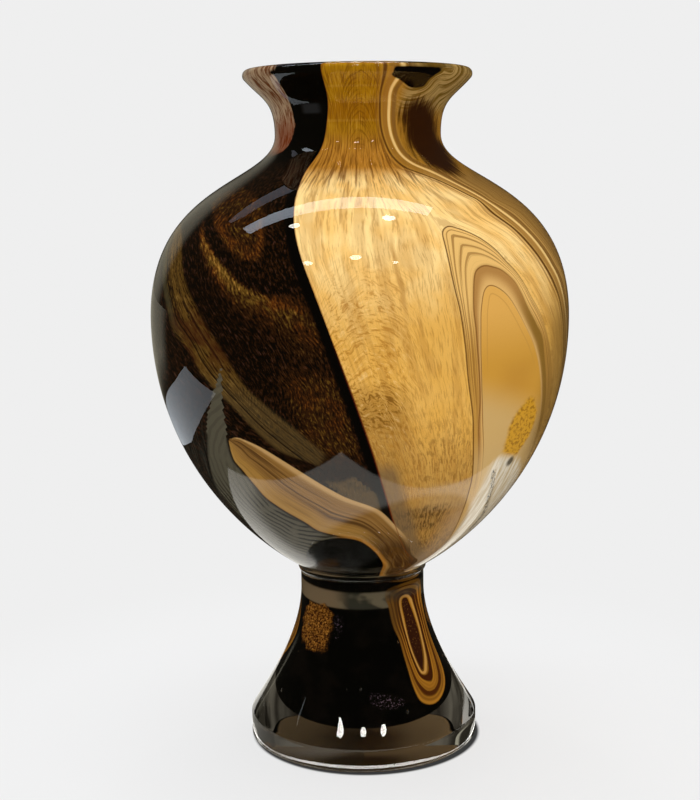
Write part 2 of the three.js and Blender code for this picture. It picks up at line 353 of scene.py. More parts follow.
def makeRing():
    low = ring["bottom"] - layer["gap"] - outline["fuse"]
    waist = outline["waistRadius"]
    middle = (outline["footTop"] + ring["bottom"]) / 2
    halfHeight = (outline["footTop"] - ring["bottom"]) / 2
    angle = np.radians(np.linspace(-90, 90, ring["points"]))
    proud = ring["proudRadius"] - waist
    bead = np.stack([waist + proud * np.cos(angle), middle + halfHeight * np.sin(angle)], 1)
    inner = foot["seatRadius"] - outline["fuse"]
    line = np.vstack([[[inner, low]], [[waist - ring["inset"], low]], bead, [[inner, jointHeight]]])
    return turnedPiece("waist_ring_glass", line, ring["columns"])


# The marbled layer's two fields meet along seams, given as (degrees, mm above the base)
frontSeam = [
    (48, 77), (38, 96.5), (22, 108.5), (13, 123), (7, 142.5), (1.5, 168.5), (-5.4, 202.5), (-12, 231.5),
    (-20, 258), (-25, 273.5), (-27.5, 282), (-25.5, 291.5), (-23, 301), (-19, 318), (-17, 342),
]
backSeam = [
    (150, 77), (142, 113.5), (122, 149.5), (112, 197.5), (126, 246), (150, 282), (158, 306), (150, 342),
]
field = dict(rows=260, columns=170, pull=0.4, leastStep=0.3)
hair = 1e-6  # keeps a division from meeting zero


# An outline turned round the vase by some degrees
def turned(points, turn):
    return [(x + turn, y) for x, y in points]


# A smooth line through points. Between b and c, with neighbours a and d, it is
# half of 2b + (c - a) t + (2a - 5b + 4c - d) t^2 + (3b - a - 3c + d) t^3
def smoothLine(points, steps=5, closed=False):
    p = np.array(points, float)
    p = np.vstack([p[-1:], p, p[:2]]) if closed else np.vstack([2 * p[0] - p[1], p, 2 * p[-1] - p[-2]])
    a, b, c, d = p[:-3, None], p[1:-2, None], p[2:-1, None], p[3:, None]
    t = np.linspace(0, 1, steps, endpoint=False)[None, :, None]
    curve = 0.5 * (2 * b + (c - a) * t + (2 * a - 5 * b + 4 * c - d) * t**2 + (3 * b - a - 3 * c + d) * t**3)
    curve = curve.reshape(-1, 2)
    return np.vstack([curve, curve[:1]]) if closed else np.vstack([curve, p[-2:-1]])


# The angle of a line at each height; the line climbs or falls all the way
def angleAt(points, height):
    line = smoothLine(points)
    line = line[np.argsort(line[:, 1])]
    return np.interp(height, line[:, 1], line[:, 0])


# The points of a marbled sheet laid flat: degrees, height and mm along the sheet's line, and mm per degree
class Sheet:
    def __init__(self, line, angles, wall):
        self.heights, self.lengths = wall[:, 1] / mm, lengthAlong(wall) / mm
        self.degrees = angles.ravel()
        self.height = np.broadcast_to(line[:, 1:] / mm, angles.shape).ravel()
        self.along = np.interp(self.height, self.heights, self.lengths)
        self.perDegree = np.broadcast_to(np.radians(line[:, :1] / mm), angles.shape).ravel()

    # Distance in mm to a line of (degrees, height), positive inside a closed one or to the left of its travel
    def away(self, points, closed=False):
        line = smoothLine(points, closed=closed)
        along = np.interp(line[:, 1], self.heights, self.lengths)
        centre = line[:, 0].mean()
        toCentre = (centre - self.degrees + 180) % 360 - 180
        startX = (toCentre[:, None] + line[None, :-1, 0] - centre) * self.perDegree[:, None]
        startY = along[None, :-1] - self.along[:, None]
        stepX = np.diff(line[:, 0])[None] * self.perDegree[:, None]
        stepY = np.diff(along)[None] + np.zeros_like(stepX)
        share = np.clip(-(startX * stepX + startY * stepY) / (stepX**2 + stepY**2 + 1e-9), 0, 1)
        nearX, nearY = startX + share * stepX, startY + share * stepY
        squared = nearX**2 + nearY**2
        nearest = np.argmin(squared, 1)
        pick = (np.arange(len(nearest)), nearest)
        distance = np.sqrt(squared[pick])
        if closed:
            crosses = (startY > 0) != (startY + stepY > 0)
            crossX = startX - stepX * startY / np.where(crosses, stepY, 1)
            inside = np.sum(crosses & (crossX > 0), 1) % 2 == 1
            return np.where(inside, distance, -distance)
        side = stepY[pick] * nearX[pick] - stepX[pick] * nearY[pick]
        return np.where(side >= 0, distance, -distance)

    # A coordinate across the flow, which goes from one of the values to the next between guide lines
    def across(self, guides, values):
        step = field["leastStep"]
        edges = np.array([angleAt(guide, self.height) + step * i for i, guide in enumerate(guides)])
        edges = np.maximum.accumulate(edges, 0)
        total = np.zeros_like(self.degrees)
        for low, high, rise in zip(edges[:-1], edges[1:], np.diff(values)):
            total += rise * np.clip((self.degrees - low) / (high - low + 0.01), 0, 1)
        return total + values[0]


layerLine = evenly(colourLine, field["rows"])
layerInside = offsetLine(layerLine, layer["colour"])
layerInside[0, 1] = jointHeight


# A sector of the marbled layer between two seams: outer and inner grids joined round all four edges.
# The columns are closer together near one of the seams, which the camera faces.
def makeField(name, startSeam, endSeam, startTurn, closeAtEnd):
    rows, columns = field["rows"], field["columns"]
    even = np.linspace(0, 1, columns)[None, :]
    pulled = 1 - (1 - even) ** 2 if closeAtEnd else even**2
    share = even + (pulled - even) * field["pull"]
    points, angles = [], []
    for line in (layerLine, layerInside):
        start = angleAt(startSeam, line[:, 1] / mm)[:, None] + startTurn
        end = angleAt(endSeam, line[:, 1] / mm)[:, None]
        angles.append(start + (end - start) * share)
        points.append(turnedPoints(line[:, :1], line[:, 1:], np.radians(angles[-1])).reshape(-1, 3))
    count = rows * columns
    outerFaces = gridFaces(rows, columns, False, False)
    innerFaces = gridFaces(rows, columns, False, False, first=count, flip=True)
    across, along = np.arange(columns), np.arange(rows) * columns
    edges = [across[::-1], across + (rows - 1) * columns, along, along[::-1] + columns - 1]
    strips = [np.stack([e[:-1], e[1:], e[1:] + count, e[:-1] + count], 1) for e in edges]
    piece = pieceFrom(name, np.vstack(points), np.vstack([outerFaces, innerFaces, *strips]).tolist())
    return piece, Sheet(layerLine, angles[0], layerLine)


# Writes one number for each point; a hidden inner sheet repeats the outer one's
def addValues(piece, values):
    count = len(piece.data.vertices)
    for name, numbers in values.items():
        repeated = np.resize(numbers, count).astype(np.float32)
        piece.data.attributes.new(name, "FLOAT", "POINT").data.foreach_set("value", repeated)


# 0 below low, 1 above high, smooth between
def ease(value, low, high):
    t = np.clip((value - low) / (high - low), 0, 1)
    return t * t * (3 - 2 * t)


# Shapes in the marbling, as (degrees, mm above the base)
tongueUpper = [
    (-41, 165), (-37.5, 166.5), (-34, 165.5), (-29, 162.5), (-23, 157), (-17.5, 151.5), (-11.5, 145.5),
    (-5, 140), (2, 136), (6.5, 132.5), (13, 124), (20.5, 115.5), (28, 105.5), (43.5, 98), (61, 85),
]
tongueLower = [
    (-41, 164.5), (-41.5, 155.5), (-39.5, 150.5), (-37, 144), (-34.5, 137.5), (-29, 131.5), (-22.5, 126),
    (-18, 121.5), (-9.5, 119), (-2, 117.5), (2.5, 112.5), (8.5, 104.5), (18, 97.5), (27.5, 86.5),
]
lobe = [
    (-34, 104.5), (-25.5, 111.5), (-18, 116), (-9.5, 118), (-2, 116.5), (4.5, 111), (12, 102), (20, 92),
    (18, 84), (-10, 84), (-38, 88), (-40.5, 97),
]
dark = dict(
    teardrop=[
        (-64, 265.5), (-53.5, 259.5), (-47, 254.5), (-41.5, 250), (-37, 246.5), (-32.5, 244), (-29, 244.5),
        (-28, 248.5), (-29, 255), (-32.5, 262.5), (-39.5, 269), (-52, 272.5), (-61.5, 272), (-65.5, 269.5),
    ],
    teardropLine=[
        (-76.5, 267), (-59.5, 261.5), (-52, 255.5), (-46, 250.5), (-41, 246), (-36.5, 241.5), (-32, 237),
        (-27, 233.5), (-23, 232.5), (-19.5, 234), (-15.5, 238),
    ],
    goldRegion=[
        (-57, 257.5), (-50.5, 252), (-45.5, 247.5), (-40.5, 243), (-35.5, 238.5), (-30.5, 234.5),
        (-26, 231.5), (-20, 229), (-15.5, 228.5), (-11.5, 225), (-9.5, 219.5), (-8, 212), (-6, 204.5),
        (-5, 197), (-8, 192.5), (-11.5, 192), (-15, 197), (-18.5, 203), (-22, 208.5), (-25.5, 214),
        (-29, 218), (-33, 222.5), (-38, 229.5), (-43, 237.5), (-48.5, 245), (-54, 251),
    ],
    goldCrest=[
        (-57, 257.5), (-49, 250.5), (-43, 245), (-37.5, 239.5), (-32, 234.5), (-27, 230), (-22, 226),
        (-17.5, 221), (-13, 214),
    ],
    crescent=[
        (-80, 262), (-74.5, 257.5), (-64, 250.5), (-57, 241.5), (-52, 231), (-47, 223), (-42, 214),
        (-38, 206), (-34.5, 197.5), (-31.5, 191), (-25, 192), (-23.5, 198.5), (-25.5, 206), (-30, 213),
        (-34.5, 219), (-40, 226), (-45, 233), (-49, 241), (-55, 251), (-61, 258.5), (-72, 265),
    ],
    bandLeft=[
        (-79, 248), (-73.5, 240), (-67.5, 230.5), (-62, 220.5), (-58.5, 212), (-51.5, 204), (-47.5, 195.5),
        (-42, 187.5), (-35.5, 179.5), (-30.5, 171), (-24.5, 162.5), (-18, 154.5),
    ],
    bandRight=[
        (-78.5, 259), (-65, 250.5), (-58.5, 241.5), (-52.5, 231), (-47.5, 223), (-42.5, 214), (-38, 206),
        (-34.5, 197.5), (-30.5, 189), (-24.5, 181), (-18, 172.5), (-13, 165), (-8.5, 159),
    ],
    outerArc=[
        (-42.5, 187), (-49, 179.5), (-56, 171), (-62, 161), (-69.5, 150), (-71.5, 144), (-68, 138.5),
        (-73.5, 127.5),
    ],
    innerArc=[(-41, 183.5), (-44.5, 175), (-49, 166.5), (-53.5, 157), (-58, 147), (-63.5, 136.5)],
    feather=[
        (-43.5, 176), (-47, 167), (-49, 158), (-51, 148.5), (-54, 139), (-55, 132.5), (-61.5, 120),
        (-69.5, 107.5), (-69.5, 100.5),
    ],
    rippleFar=[
        (-50.5, 166), (-54, 157), (-58, 147), (-62, 137), (-62, 126), (-56, 114), (-46, 105), (-34, 100),
    ],
    pink=[
        (-44, 340), (-49, 327.5), (-46.5, 325.5), (-48, 320.5), (-50, 315.5), (-50.5, 310), (-50.5, 303.5),
        (-53, 298.5), (-56, 293.5), (-60, 290), (-70, 287),
    ],
    flowLeft=[(-120, 290), (-112, 250), (-95, 225), (-80, 195), (-66, 160), (-60, 120), (-50, 90)],
)
darkShift = -115


# What both fields carry: where each point lies, and its distances to the tongue and to the seam
def sharedValues(sheet):
    drop, rise = (np.abs(sheet.away(line)) for line in (tongueLower, tongueUpper))
    return {
        "along": sheet.along, "height": sheet.height, "degrees": sheet.degrees,
        "tongueIn": sheet.away(tongueUpper + tongueLower[::-1], True),
        "tongueShare": rise / (rise + drop + hair),
        "seam": np.abs(sheet.away(frontSeam)),
    }


# How gold the dark glass is, from -1 for plain black to 1, and where its streaky band runs.
# The back has the same shapes again.
def darkValues(sheet):
    level, bandIn, bandShare = 0.06, -99.0, 0.5
    for turn in (0, darkShift):
        shapes = {name: turned(points, turn) for name, points in dark.items()}
        drop, region, crescent = (sheet.away(shapes[n], True) for n in ("teardrop", "goldRegion", "crescent"))
        crest, strip = (np.abs(sheet.away(shapes[n])) for n in ("goldCrest", "teardropLine"))
        rim = 0.36 + 0.2 * (1 - ease(drop, 1.5, 6)) * (1 - ease(sheet.height, 256, 268))
        fall = 0.4 + 0.6 * ease(sheet.height, 212, 244)
        glow = ease(region, -3.5, 3.5) * (0.29 + 0.68 * np.exp(-((crest / 8) ** 2))) * fall
        level = np.maximum(level, np.maximum(ease(drop, -2, 1.5) * rim, glow))
        stripEnds = 1 - ease(np.abs(sheet.height - 249), 15, 22)
        black = np.maximum(ease(crescent, -2, 1.5), (1 - ease(strip, 1.7, 3.2)) * stripEnds)
        level = level * (1 - black) - 0.6 * black
        left, right = sheet.away(shapes["bandLeft"]), -sheet.away(shapes["bandRight"])
        ends = 14 * ease(sheet.height, 252, 268) + 12 * (1 - ease(sheet.height, 150, 163))
        inside = np.minimum(left, right) - ends
        bandShare = np.where(inside > bandIn, np.clip(left / (left + right + hair), 0, 1), bandShare)
        bandIn = np.maximum(bandIn, inside)
    nearSeam = np.abs(sheet.away(frontSeam))
    besideSeam = ease(nearSeam, 3.5, 6) * (1 - ease(nearSeam, 20, 34)) * (1 - ease(sheet.height, 190, 206))
    level = np.maximum(level, 0.4 * besideSeam * ease(sheet.height, 152, 166))
    level = level - 0.7 * (1 - ease(nearSeam, 2.5, 4.5))
    guides = [turned(backSeam, -360), dark["flowLeft"], dark["bandLeft"], dark["crescent"][1:10], frontSeam]
    return {
        **sharedValues(sheet), "level": level, "bandIn": bandIn, "bandShare": bandShare,
        "flowAcross": sheet.across(guides, [-110, -40, -16, 0, 40]),
        "lobeIn": sheet.away(lobe, True), "pinkIn": sheet.away(dark["pink"]),
        "feather": sheet.away(dark["feather"]),
        "arcs": np.minimum(*(np.abs(sheet.away(dark[n])) for n in ("outerArc", "innerArc"))),
        "rippleIn": np.minimum(-sheet.away(tongueLower), sheet.away(dark["rippleFar"])),
    }


ochre = dict(
    grainLeft=[
        (-13, 342), (-10, 327.5), (-13.5, 314.5), (-15.5, 296), (-15.5, 281), (-14, 266.5), (-11.5, 248.5),
        (-7, 228.5), (-3, 207.5), (2, 186), (7, 165.5), (12, 148.5), (17, 130), (20, 118), (28, 108),
        (42, 96), (52, 77),
    ],
    grainMid=[
        (0, 342), (0, 314.5), (-0.5, 295.5), (-1.5, 279), (-3, 262.5), (-2.5, 244.5), (0, 224.5), (3, 203.5),
        (7.5, 181.5), (13, 160.5), (17, 143), (21, 126.5), (26.5, 111.5), (45, 96), (56, 77),
    ],
    grainRight=[
        (11, 342), (10, 314), (11, 300.5), (13, 288), (15.5, 272), (19, 262), (19.5, 248), (20.5, 227.5),
        (22.5, 206.5), (25.5, 184), (28.5, 161), (31.5, 141), (33, 124.5), (37, 110), (48, 97), (60, 77),
    ],
    loopLeft=[
        (12.5, 342), (13.5, 300), (17, 279), (22, 262), (24, 252), (24, 240.5), (25.5, 222.5), (27, 205.5),
        (28, 194), (31, 175.5), (35, 153.5), (38.5, 137), (41, 126.5), (44.5, 116.5), (48.5, 108), (53, 98),
        (64, 77),
    ],
    loopRight=[
        (13, 342), (14, 300), (17.5, 279), (23, 262), (30, 256), (37, 251), (43, 241.5), (50.5, 225.5),
        (57.5, 209.5), (61, 198.5), (66, 180), (70, 160), (72, 140), (72, 120), (70, 105), (70, 77),
    ],
    outerLoop=[
        (52, 92), (50.5, 102), (48.5, 108), (44.5, 116.5), (41, 126.5), (38.5, 137), (37, 145), (35, 153.5),
        (33, 163), (31, 175.5), (29.5, 184), (28, 194), (27, 205.5), (25.5, 222.5), (24.5, 231.5),
        (24, 240.5), (24, 250.5), (24.5, 255), (27, 257), (30, 256), (33.5, 254), (37, 251), (40.5, 246.5),
        (43, 241.5), (45.5, 237.5), (48, 232), (50.5, 225.5), (54, 218.5), (57.5, 209.5), (61, 198.5),
        (66, 180), (70, 160),
    ],
    secondLoop=[
        (40, 140), (34, 168), (32.5, 183), (31.5, 193.5), (30.5, 205.5), (30, 214), (29.5, 222.5), (30, 231),
        (31, 237), (32.5, 239.5), (35, 240.5), (38, 239.5), (40.5, 238), (44, 233.5), (46, 228.5),
        (48.5, 221), (52, 213.5), (55, 207.5), (57, 198), (59.5, 188.5), (64, 172), (68, 155),
    ],
    thirdLoop=[
        (42, 140), (35.5, 168), (33.2, 183), (32.2, 193.5), (31.5, 205.5), (31.5, 218.5), (32, 224.5),
        (33, 229.5), (34.5, 232), (36.5, 232), (39, 230), (41.5, 226.5), (44, 221), (47, 214), (50, 207.5),
        (52.5, 201), (54.5, 195), (57.5, 184.5), (62, 168), (66, 152),
    ],
    neckDark=[
        (12.5, 342), (13.5, 320.5), (14.5, 312), (15.5, 303), (18, 295), (20.5, 287.5), (24.5, 282),
        (29.5, 279.5), (37.5, 275), (44, 269), (46.5, 266.5), (48, 261), (53, 254.5), (57, 247), (61, 238),
        (64.5, 229.5), (68, 220), (72, 200), (76, 180), (80, 160), (82, 140), (83, 120), (82, 77),
    ],
    neckLight=[
        (23, 342), (22, 327.5), (19.5, 319.5), (21, 312), (22, 303), (24.5, 295), (27, 288), (31, 283.5),
        (38, 279.5), (44, 274), (49, 268.5), (53, 262.5), (57.5, 255.5), (62, 247), (66, 238), (70, 229),
        (74, 212), (79, 190), (84, 165), (87, 140), (88, 120), (87, 77),
    ],
    halfOval=[
        (17.5, 345), (17.5, 327.5), (17, 325), (22.5, 323), (29.5, 320.5), (35, 320), (40, 321),
        (40.5, 323.5), (43, 326), (47, 329), (52, 345),
    ],
    neckPatch=[
        (34, 306), (36, 311.5), (42.5, 313), (53.5, 312), (66, 305.5), (70, 296.5), (78, 290), (54, 279),
        (45, 282), (41.5, 288), (38, 295.5),
    ],
    goldPatch=[
        (53, 181), (48.5, 176.5), (46, 170.5), (46, 163.5), (47, 156), (54.5, 153), (57, 157), (59, 162),
        (59, 169.5), (57, 176),
    ],
    palePatch=[
        (44.5, 153), (51, 153), (58, 150), (66, 143), (75, 130), (76, 114), (68, 98), (57, 94), (50.5, 104),
        (47, 116), (44, 130), (43.5, 142),
    ],
    flecks=[(46, 147), (49.5, 139), (53, 131), (59, 122.5), (61, 114)],
    spot=[(53, 152.5), (54.5, 150.5), (53, 148.5), (51.5, 150.5)],
)


def ochreValues(sheet):
    inner = [ochre[n] for n in ("grainLeft", "grainMid", "grainRight", "loopLeft", "loopRight", "neckDark")]
    neckDark, neckLight = (angleAt(ochre[n], sheet.height) for n in ("neckDark", "neckLight"))
    patches = ("halfOval", "neckPatch", "goldPatch", "palePatch", "spot")
    return {
        **sharedValues(sheet),
        "grainAcross": sheet.across([frontSeam, *inner, backSeam], [0, 8, 20, 38, 46, 46, 66, 130]),
        **{n: -sheet.away(ochre[n]) for n in ("outerLoop", "secondLoop", "thirdLoop")},
        **{n: sheet.away(ochre[n], True) for n in patches},
        "flecks": np.abs(sheet.away(ochre["flecks"])),
        "neckAcross": (sheet.degrees - neckDark) / (neckLight - neckDark),
    }


# The core's own marbling, as (degrees, mm above the base)
coreMarks = dict(
    goldPatch=[
        (-94, 61), (-80, 68), (-65, 70), (-45, 69), (-40, 62), (-41, 54), (-47.5, 46.5), (-62, 45),
        (-76, 45.5), (-90, 50),
    ],
    purpleFleck=[(-34.5, 65.2), (-26.8, 66.5), (-24.4, 60.3), (-29, 54.7), (-33.2, 52.8), (-33.8, 59.7)],
    purpleLow=[(4.5, 27.8), (13.6, 28.1), (31.4, 24.4), (33, 21.3), (24.7, 20.1), (10.1, 21.2)],
    loopInner=[
        (51, 72), (54.5, 61.5), (57.5, 50), (60, 40), (62.5, 33.5), (67, 36), (72, 40), (76, 46), (77, 53),
        (73, 61), (66.5, 68), (60, 73),
    ],
    loopOuter=[
        (30, 80), (32, 68.5), (36, 59.5), (43, 50.5), (45, 38), (45, 28), (48.5, 20.5), (58.5, 16), (72, 15),
        (88, 19), (98, 28), (106, 42), (106, 56), (100, 68), (92, 80),
    ],
)
coreShift = dict(loops=145, patch=205)


def coreValues(sheet):
    def both(name, shift):
        turns = (0, coreShift[shift])
        return np.maximum(*(sheet.away(turned(coreMarks[name], turn), True) for turn in turns))

    inner, outer = both("loopInner", "loops"), both("loopOuter", "loops")
    return {
        "goldPatch": both("goldPatch", "patch"),
        "purple": np.maximum(both("purpleFleck", "patch"), both("purpleLow", "patch")),
        "loopInner": inner, "loopOuter": outer, "loopShare": np.clip(-inner / (outer - inner + hair), 0, 1),
        "degrees": sheet.degrees, "height": sheet.height,
    }


print("making the glass")
casingPiece = makeCasing()
liningPiece = makeLining()
corePiece, coreSheet = makeCore()
footPiece = makeFoot()
ringPiece = makeRing()
ochrePiece, ochreSheet = makeField("ochre_marbling", frontSeam, backSeam, 0, False)
darkPiece, darkSheet = makeField("dark_marbling", backSeam, frontSeam, -360, True)
print("working out the marbling")
addValues(ochrePiece, ochreValues(ochreSheet))
addValues(darkPiece, darkValues(darkSheet))
addValues(corePiece, coreValues(coreSheet))


class Wire:
    # a socket of a shader; arithmetic on it adds Math nodes
    def __init__(self, finish, socket):
        self.finish, self.socket = finish, socket

    def __add__(self, other):
        return self.finish.math("ADD", self, other)

    def __sub__(self, other):
        return self.finish.math("SUBTRACT", self, other)

    def __rsub__(self, other):
        return self.finish.math("SUBTRACT", other, self)

    def __mul__(self, other):
        return self.finish.math("MULTIPLY", self, other)

    def __truediv__(self, other):
        return self.finish.math("DIVIDE", self, other)


class Finish:
    # the shader tree of one material, or of the world
    def __init__(self, name, world=None):
        self.material = world or bpy.data.materials.new(name)
        self.ending = "ShaderNodeOutputWorld" if world else "ShaderNodeOutputMaterial"
        self.material.use_nodes = True
        self.tree = self.material.node_tree
        self.tree.nodes.clear()
        self.readings = {}

    # any node: its settings first, then the values or links of its inputs; gives the output asked for
    def node(self, kind, settings=None, inputs=None, output=0):
        made = self.tree.nodes.new(kind)
        for key, value in (settings or {}).items():
            setattr(made, key, value)
        for key, value in (inputs or {}).items():
            if isinstance(value, Wire):
                self.tree.links.new(value.socket, made.inputs[key])
            else:
                made.inputs[key].default_value = value
        return Wire(self, made.outputs[output]) if made.outputs else None

    def math(self, operation, *values):
        return self.node("ShaderNodeMath", {"operation": operation}, dict(enumerate(values)))

    def vectorMath(self, operation, *values):
        return self.node("ShaderNodeVectorMath", {"operation": operation}, dict(enumerate(values)), "Value")

    # one of the numbers that the piece carries at each point
    def reading(self, name):
        if name not in self.readings:
            self.readings[name] = self.node("ShaderNodeAttribute", {"attribute_name": name}, output="Fac")
        return self.readings[name]

    def place(self, space):
        return self.node("ShaderNodeTexCoord", output=space)

    def part(self, vector, axis):
        return self.node("ShaderNodeSeparateXYZ", inputs={0: vector}, output=axis)

    def vector(self, x, y, z=0.0):
        return self.node("ShaderNodeCombineXYZ", inputs={0: x, 1: y, 2: z})

    def noise(self, vector, scale, detail=2.0, roughness=0.5):
        inputs = {"Vector": vector, "Scale": scale, "Detail": detail, "Roughness": roughness}
        return self.node("ShaderNodeTexNoise", {}, inputs)

    # noise whose two directions are scaled on their own; z picks another stretch of it
    def grain(self, x, y, z=0.0, detail=2.0, roughness=0.5):
        return self.noise(self.vector(x, y, z), 1.0, detail, roughness)

    # 0 below low, 1 above high, smooth between; high may be the lower one
    def smooth(self, value, low, high):
        settings = {"interpolation_type": "SMOOTHSTEP"}
        return self.node("ShaderNodeMapRange", settings, {"Value": value, "From Min": low, "From Max": high})

    # 1 within a half-width of the zero of a distance, fading to 0 over a soft edge
    def stroke(self, away, half, soft):
        return self.smooth(self.math("ABSOLUTE", away), half + soft, half)

    def between(self, first, second, amount):
        return self.node("ShaderNodeMix", {"data_type": "FLOAT"}, {0: amount, 2: first, 3: second})

    # one colour over another; three numbers are a tone as a screen shows it. The amount is the product of the
    # masks, which are wires, numbers, or (value, low, high) for a smooth step.
    def blend(self, under, over, *masks):
        under, over = (tone(*c) if isinstance(c, tuple) and len(c) == 3 else c for c in (under, over))
        masks = [self.smooth(*m) if isinstance(m, tuple) else m for m in masks]
        amount = masks[0]
        for mask in masks[1:]:
            amount = amount * mask
        return self.node("ShaderNodeMix", {"data_type": "RGBA"}, {0: amount, 6: under, 7: over}, output=2)

    # colours laid over one another in turn, each row a colour and its masks
    def layers(self, under, rows):
        for row in rows:
            under = self.blend(under, *row)
        return under

    # whether this ray is of a kind
    def ray(self, kind):
        return self.node("ShaderNodeLightPath", output="Is %s Ray" % kind)

    def light(self, colour, strength=1.0):
        return self.node("ShaderNodeEmission", inputs={"Color": colour, "Strength": strength})

    def eitherShader(self, first, second, amount):
        return self.node("ShaderNodeMixShader", inputs={0: amount, 1: first, 2: second})

    def close(self, shader):
        self.node(self.ending, inputs={"Surface": shader})
        return self.material


# A colour as it shows on a screen, 0 to 255, made linear
def tone(red, green, blue):
    c = np.array([red, green, blue]) / 255
    c = np.where(c <= 0.04045, c / 12.92, ((c + 0.055) / 1.055) ** 2.4)
    return (*map(float, c), 1.0)


# Clear glass. Lamps and bounced light pass straight through it, so that the colour under it is lit plainly.
def clearGlass(name, tint):
    f = Finish(name)
    glass = f.node("ShaderNodeBsdfPrincipled", inputs={
        "Base Color": tint, "Roughness": 0.015, "IOR": 1.5, "Transmission Weight": 1.0,
    })
    through = f.node("ShaderNodeBsdfTransparent")
    inner = f.eitherShader(glass, through, f.ray("Diffuse"))
    return f.close(f.eitherShader(inner, through, f.ray("Shadow")))


# The coloured layer has no shine of its own, as it lies inside clear glass
def marbledGlass(f, colour):
    return f.close(f.node("ShaderNodeBsdfPrincipled", inputs={
        "Base Color": colour, "Roughness": 0.5, "Specular IOR Level": 0.0,
    }))


# The tongue of tan and brown streaks that lies low on the front: laid over either field
def overlayTongue(f, under):
    height, along, share = (f.reading(n) for n in ("height", "along", "tongueShare"))
    lane = share + (f.grain(share * 3, along * 0.03, 3.0) - 0.5) * 0.14
    streaks = f.grain(lane * 17, along * 0.012, 0.0, 3.0, 0.65)
    hairs = f.grain(lane * 46, along * 0.05, 5.0, 2.0, 0.6)
    middle = f.smooth(lane, 0.1, 0.24) * f.smooth(lane, 0.7, 0.54)
    body = f.blend((136, 98, 48), (154, 114, 54), (lane, 0.5, 0.74))
    body = f.layers(body, [
        ((60, 36, 15), (streaks, 0.54, 0.42), middle, 0.85),  # dark streaks
        ((168, 132, 82), (streaks, 0.6, 0.7), middle, 0.8),  # pale streaks
        ((104, 72, 34), (hairs, 0.52, 0.4), 0.5),  # fine hairs
        ((190, 152, 98), (share, 0.14, 0.05), (along, 132, 112), 0.8),  # pale upper edge
        ((112, 82, 46), (along, 120, 136), 0.7),  # duller tip
        ((164, 126, 66), (share, 0.8, 0.92), 0.6),  # pale lower edge
        ((60, 36, 15), (height, 124, 108), (lane, 0.98, 0.78), 0.9),  # dark root
        ((150, 112, 64), (hairs, 0.56, 0.68), (height, 130, 112), 0.5),
        ((130, 84, 34), (share, 0.95, 0.99), 0.7),  # brown line at the lower edge
    ])
    return f.blend(under, body, (f.reading("tongueIn"), -0.3, 0.4))


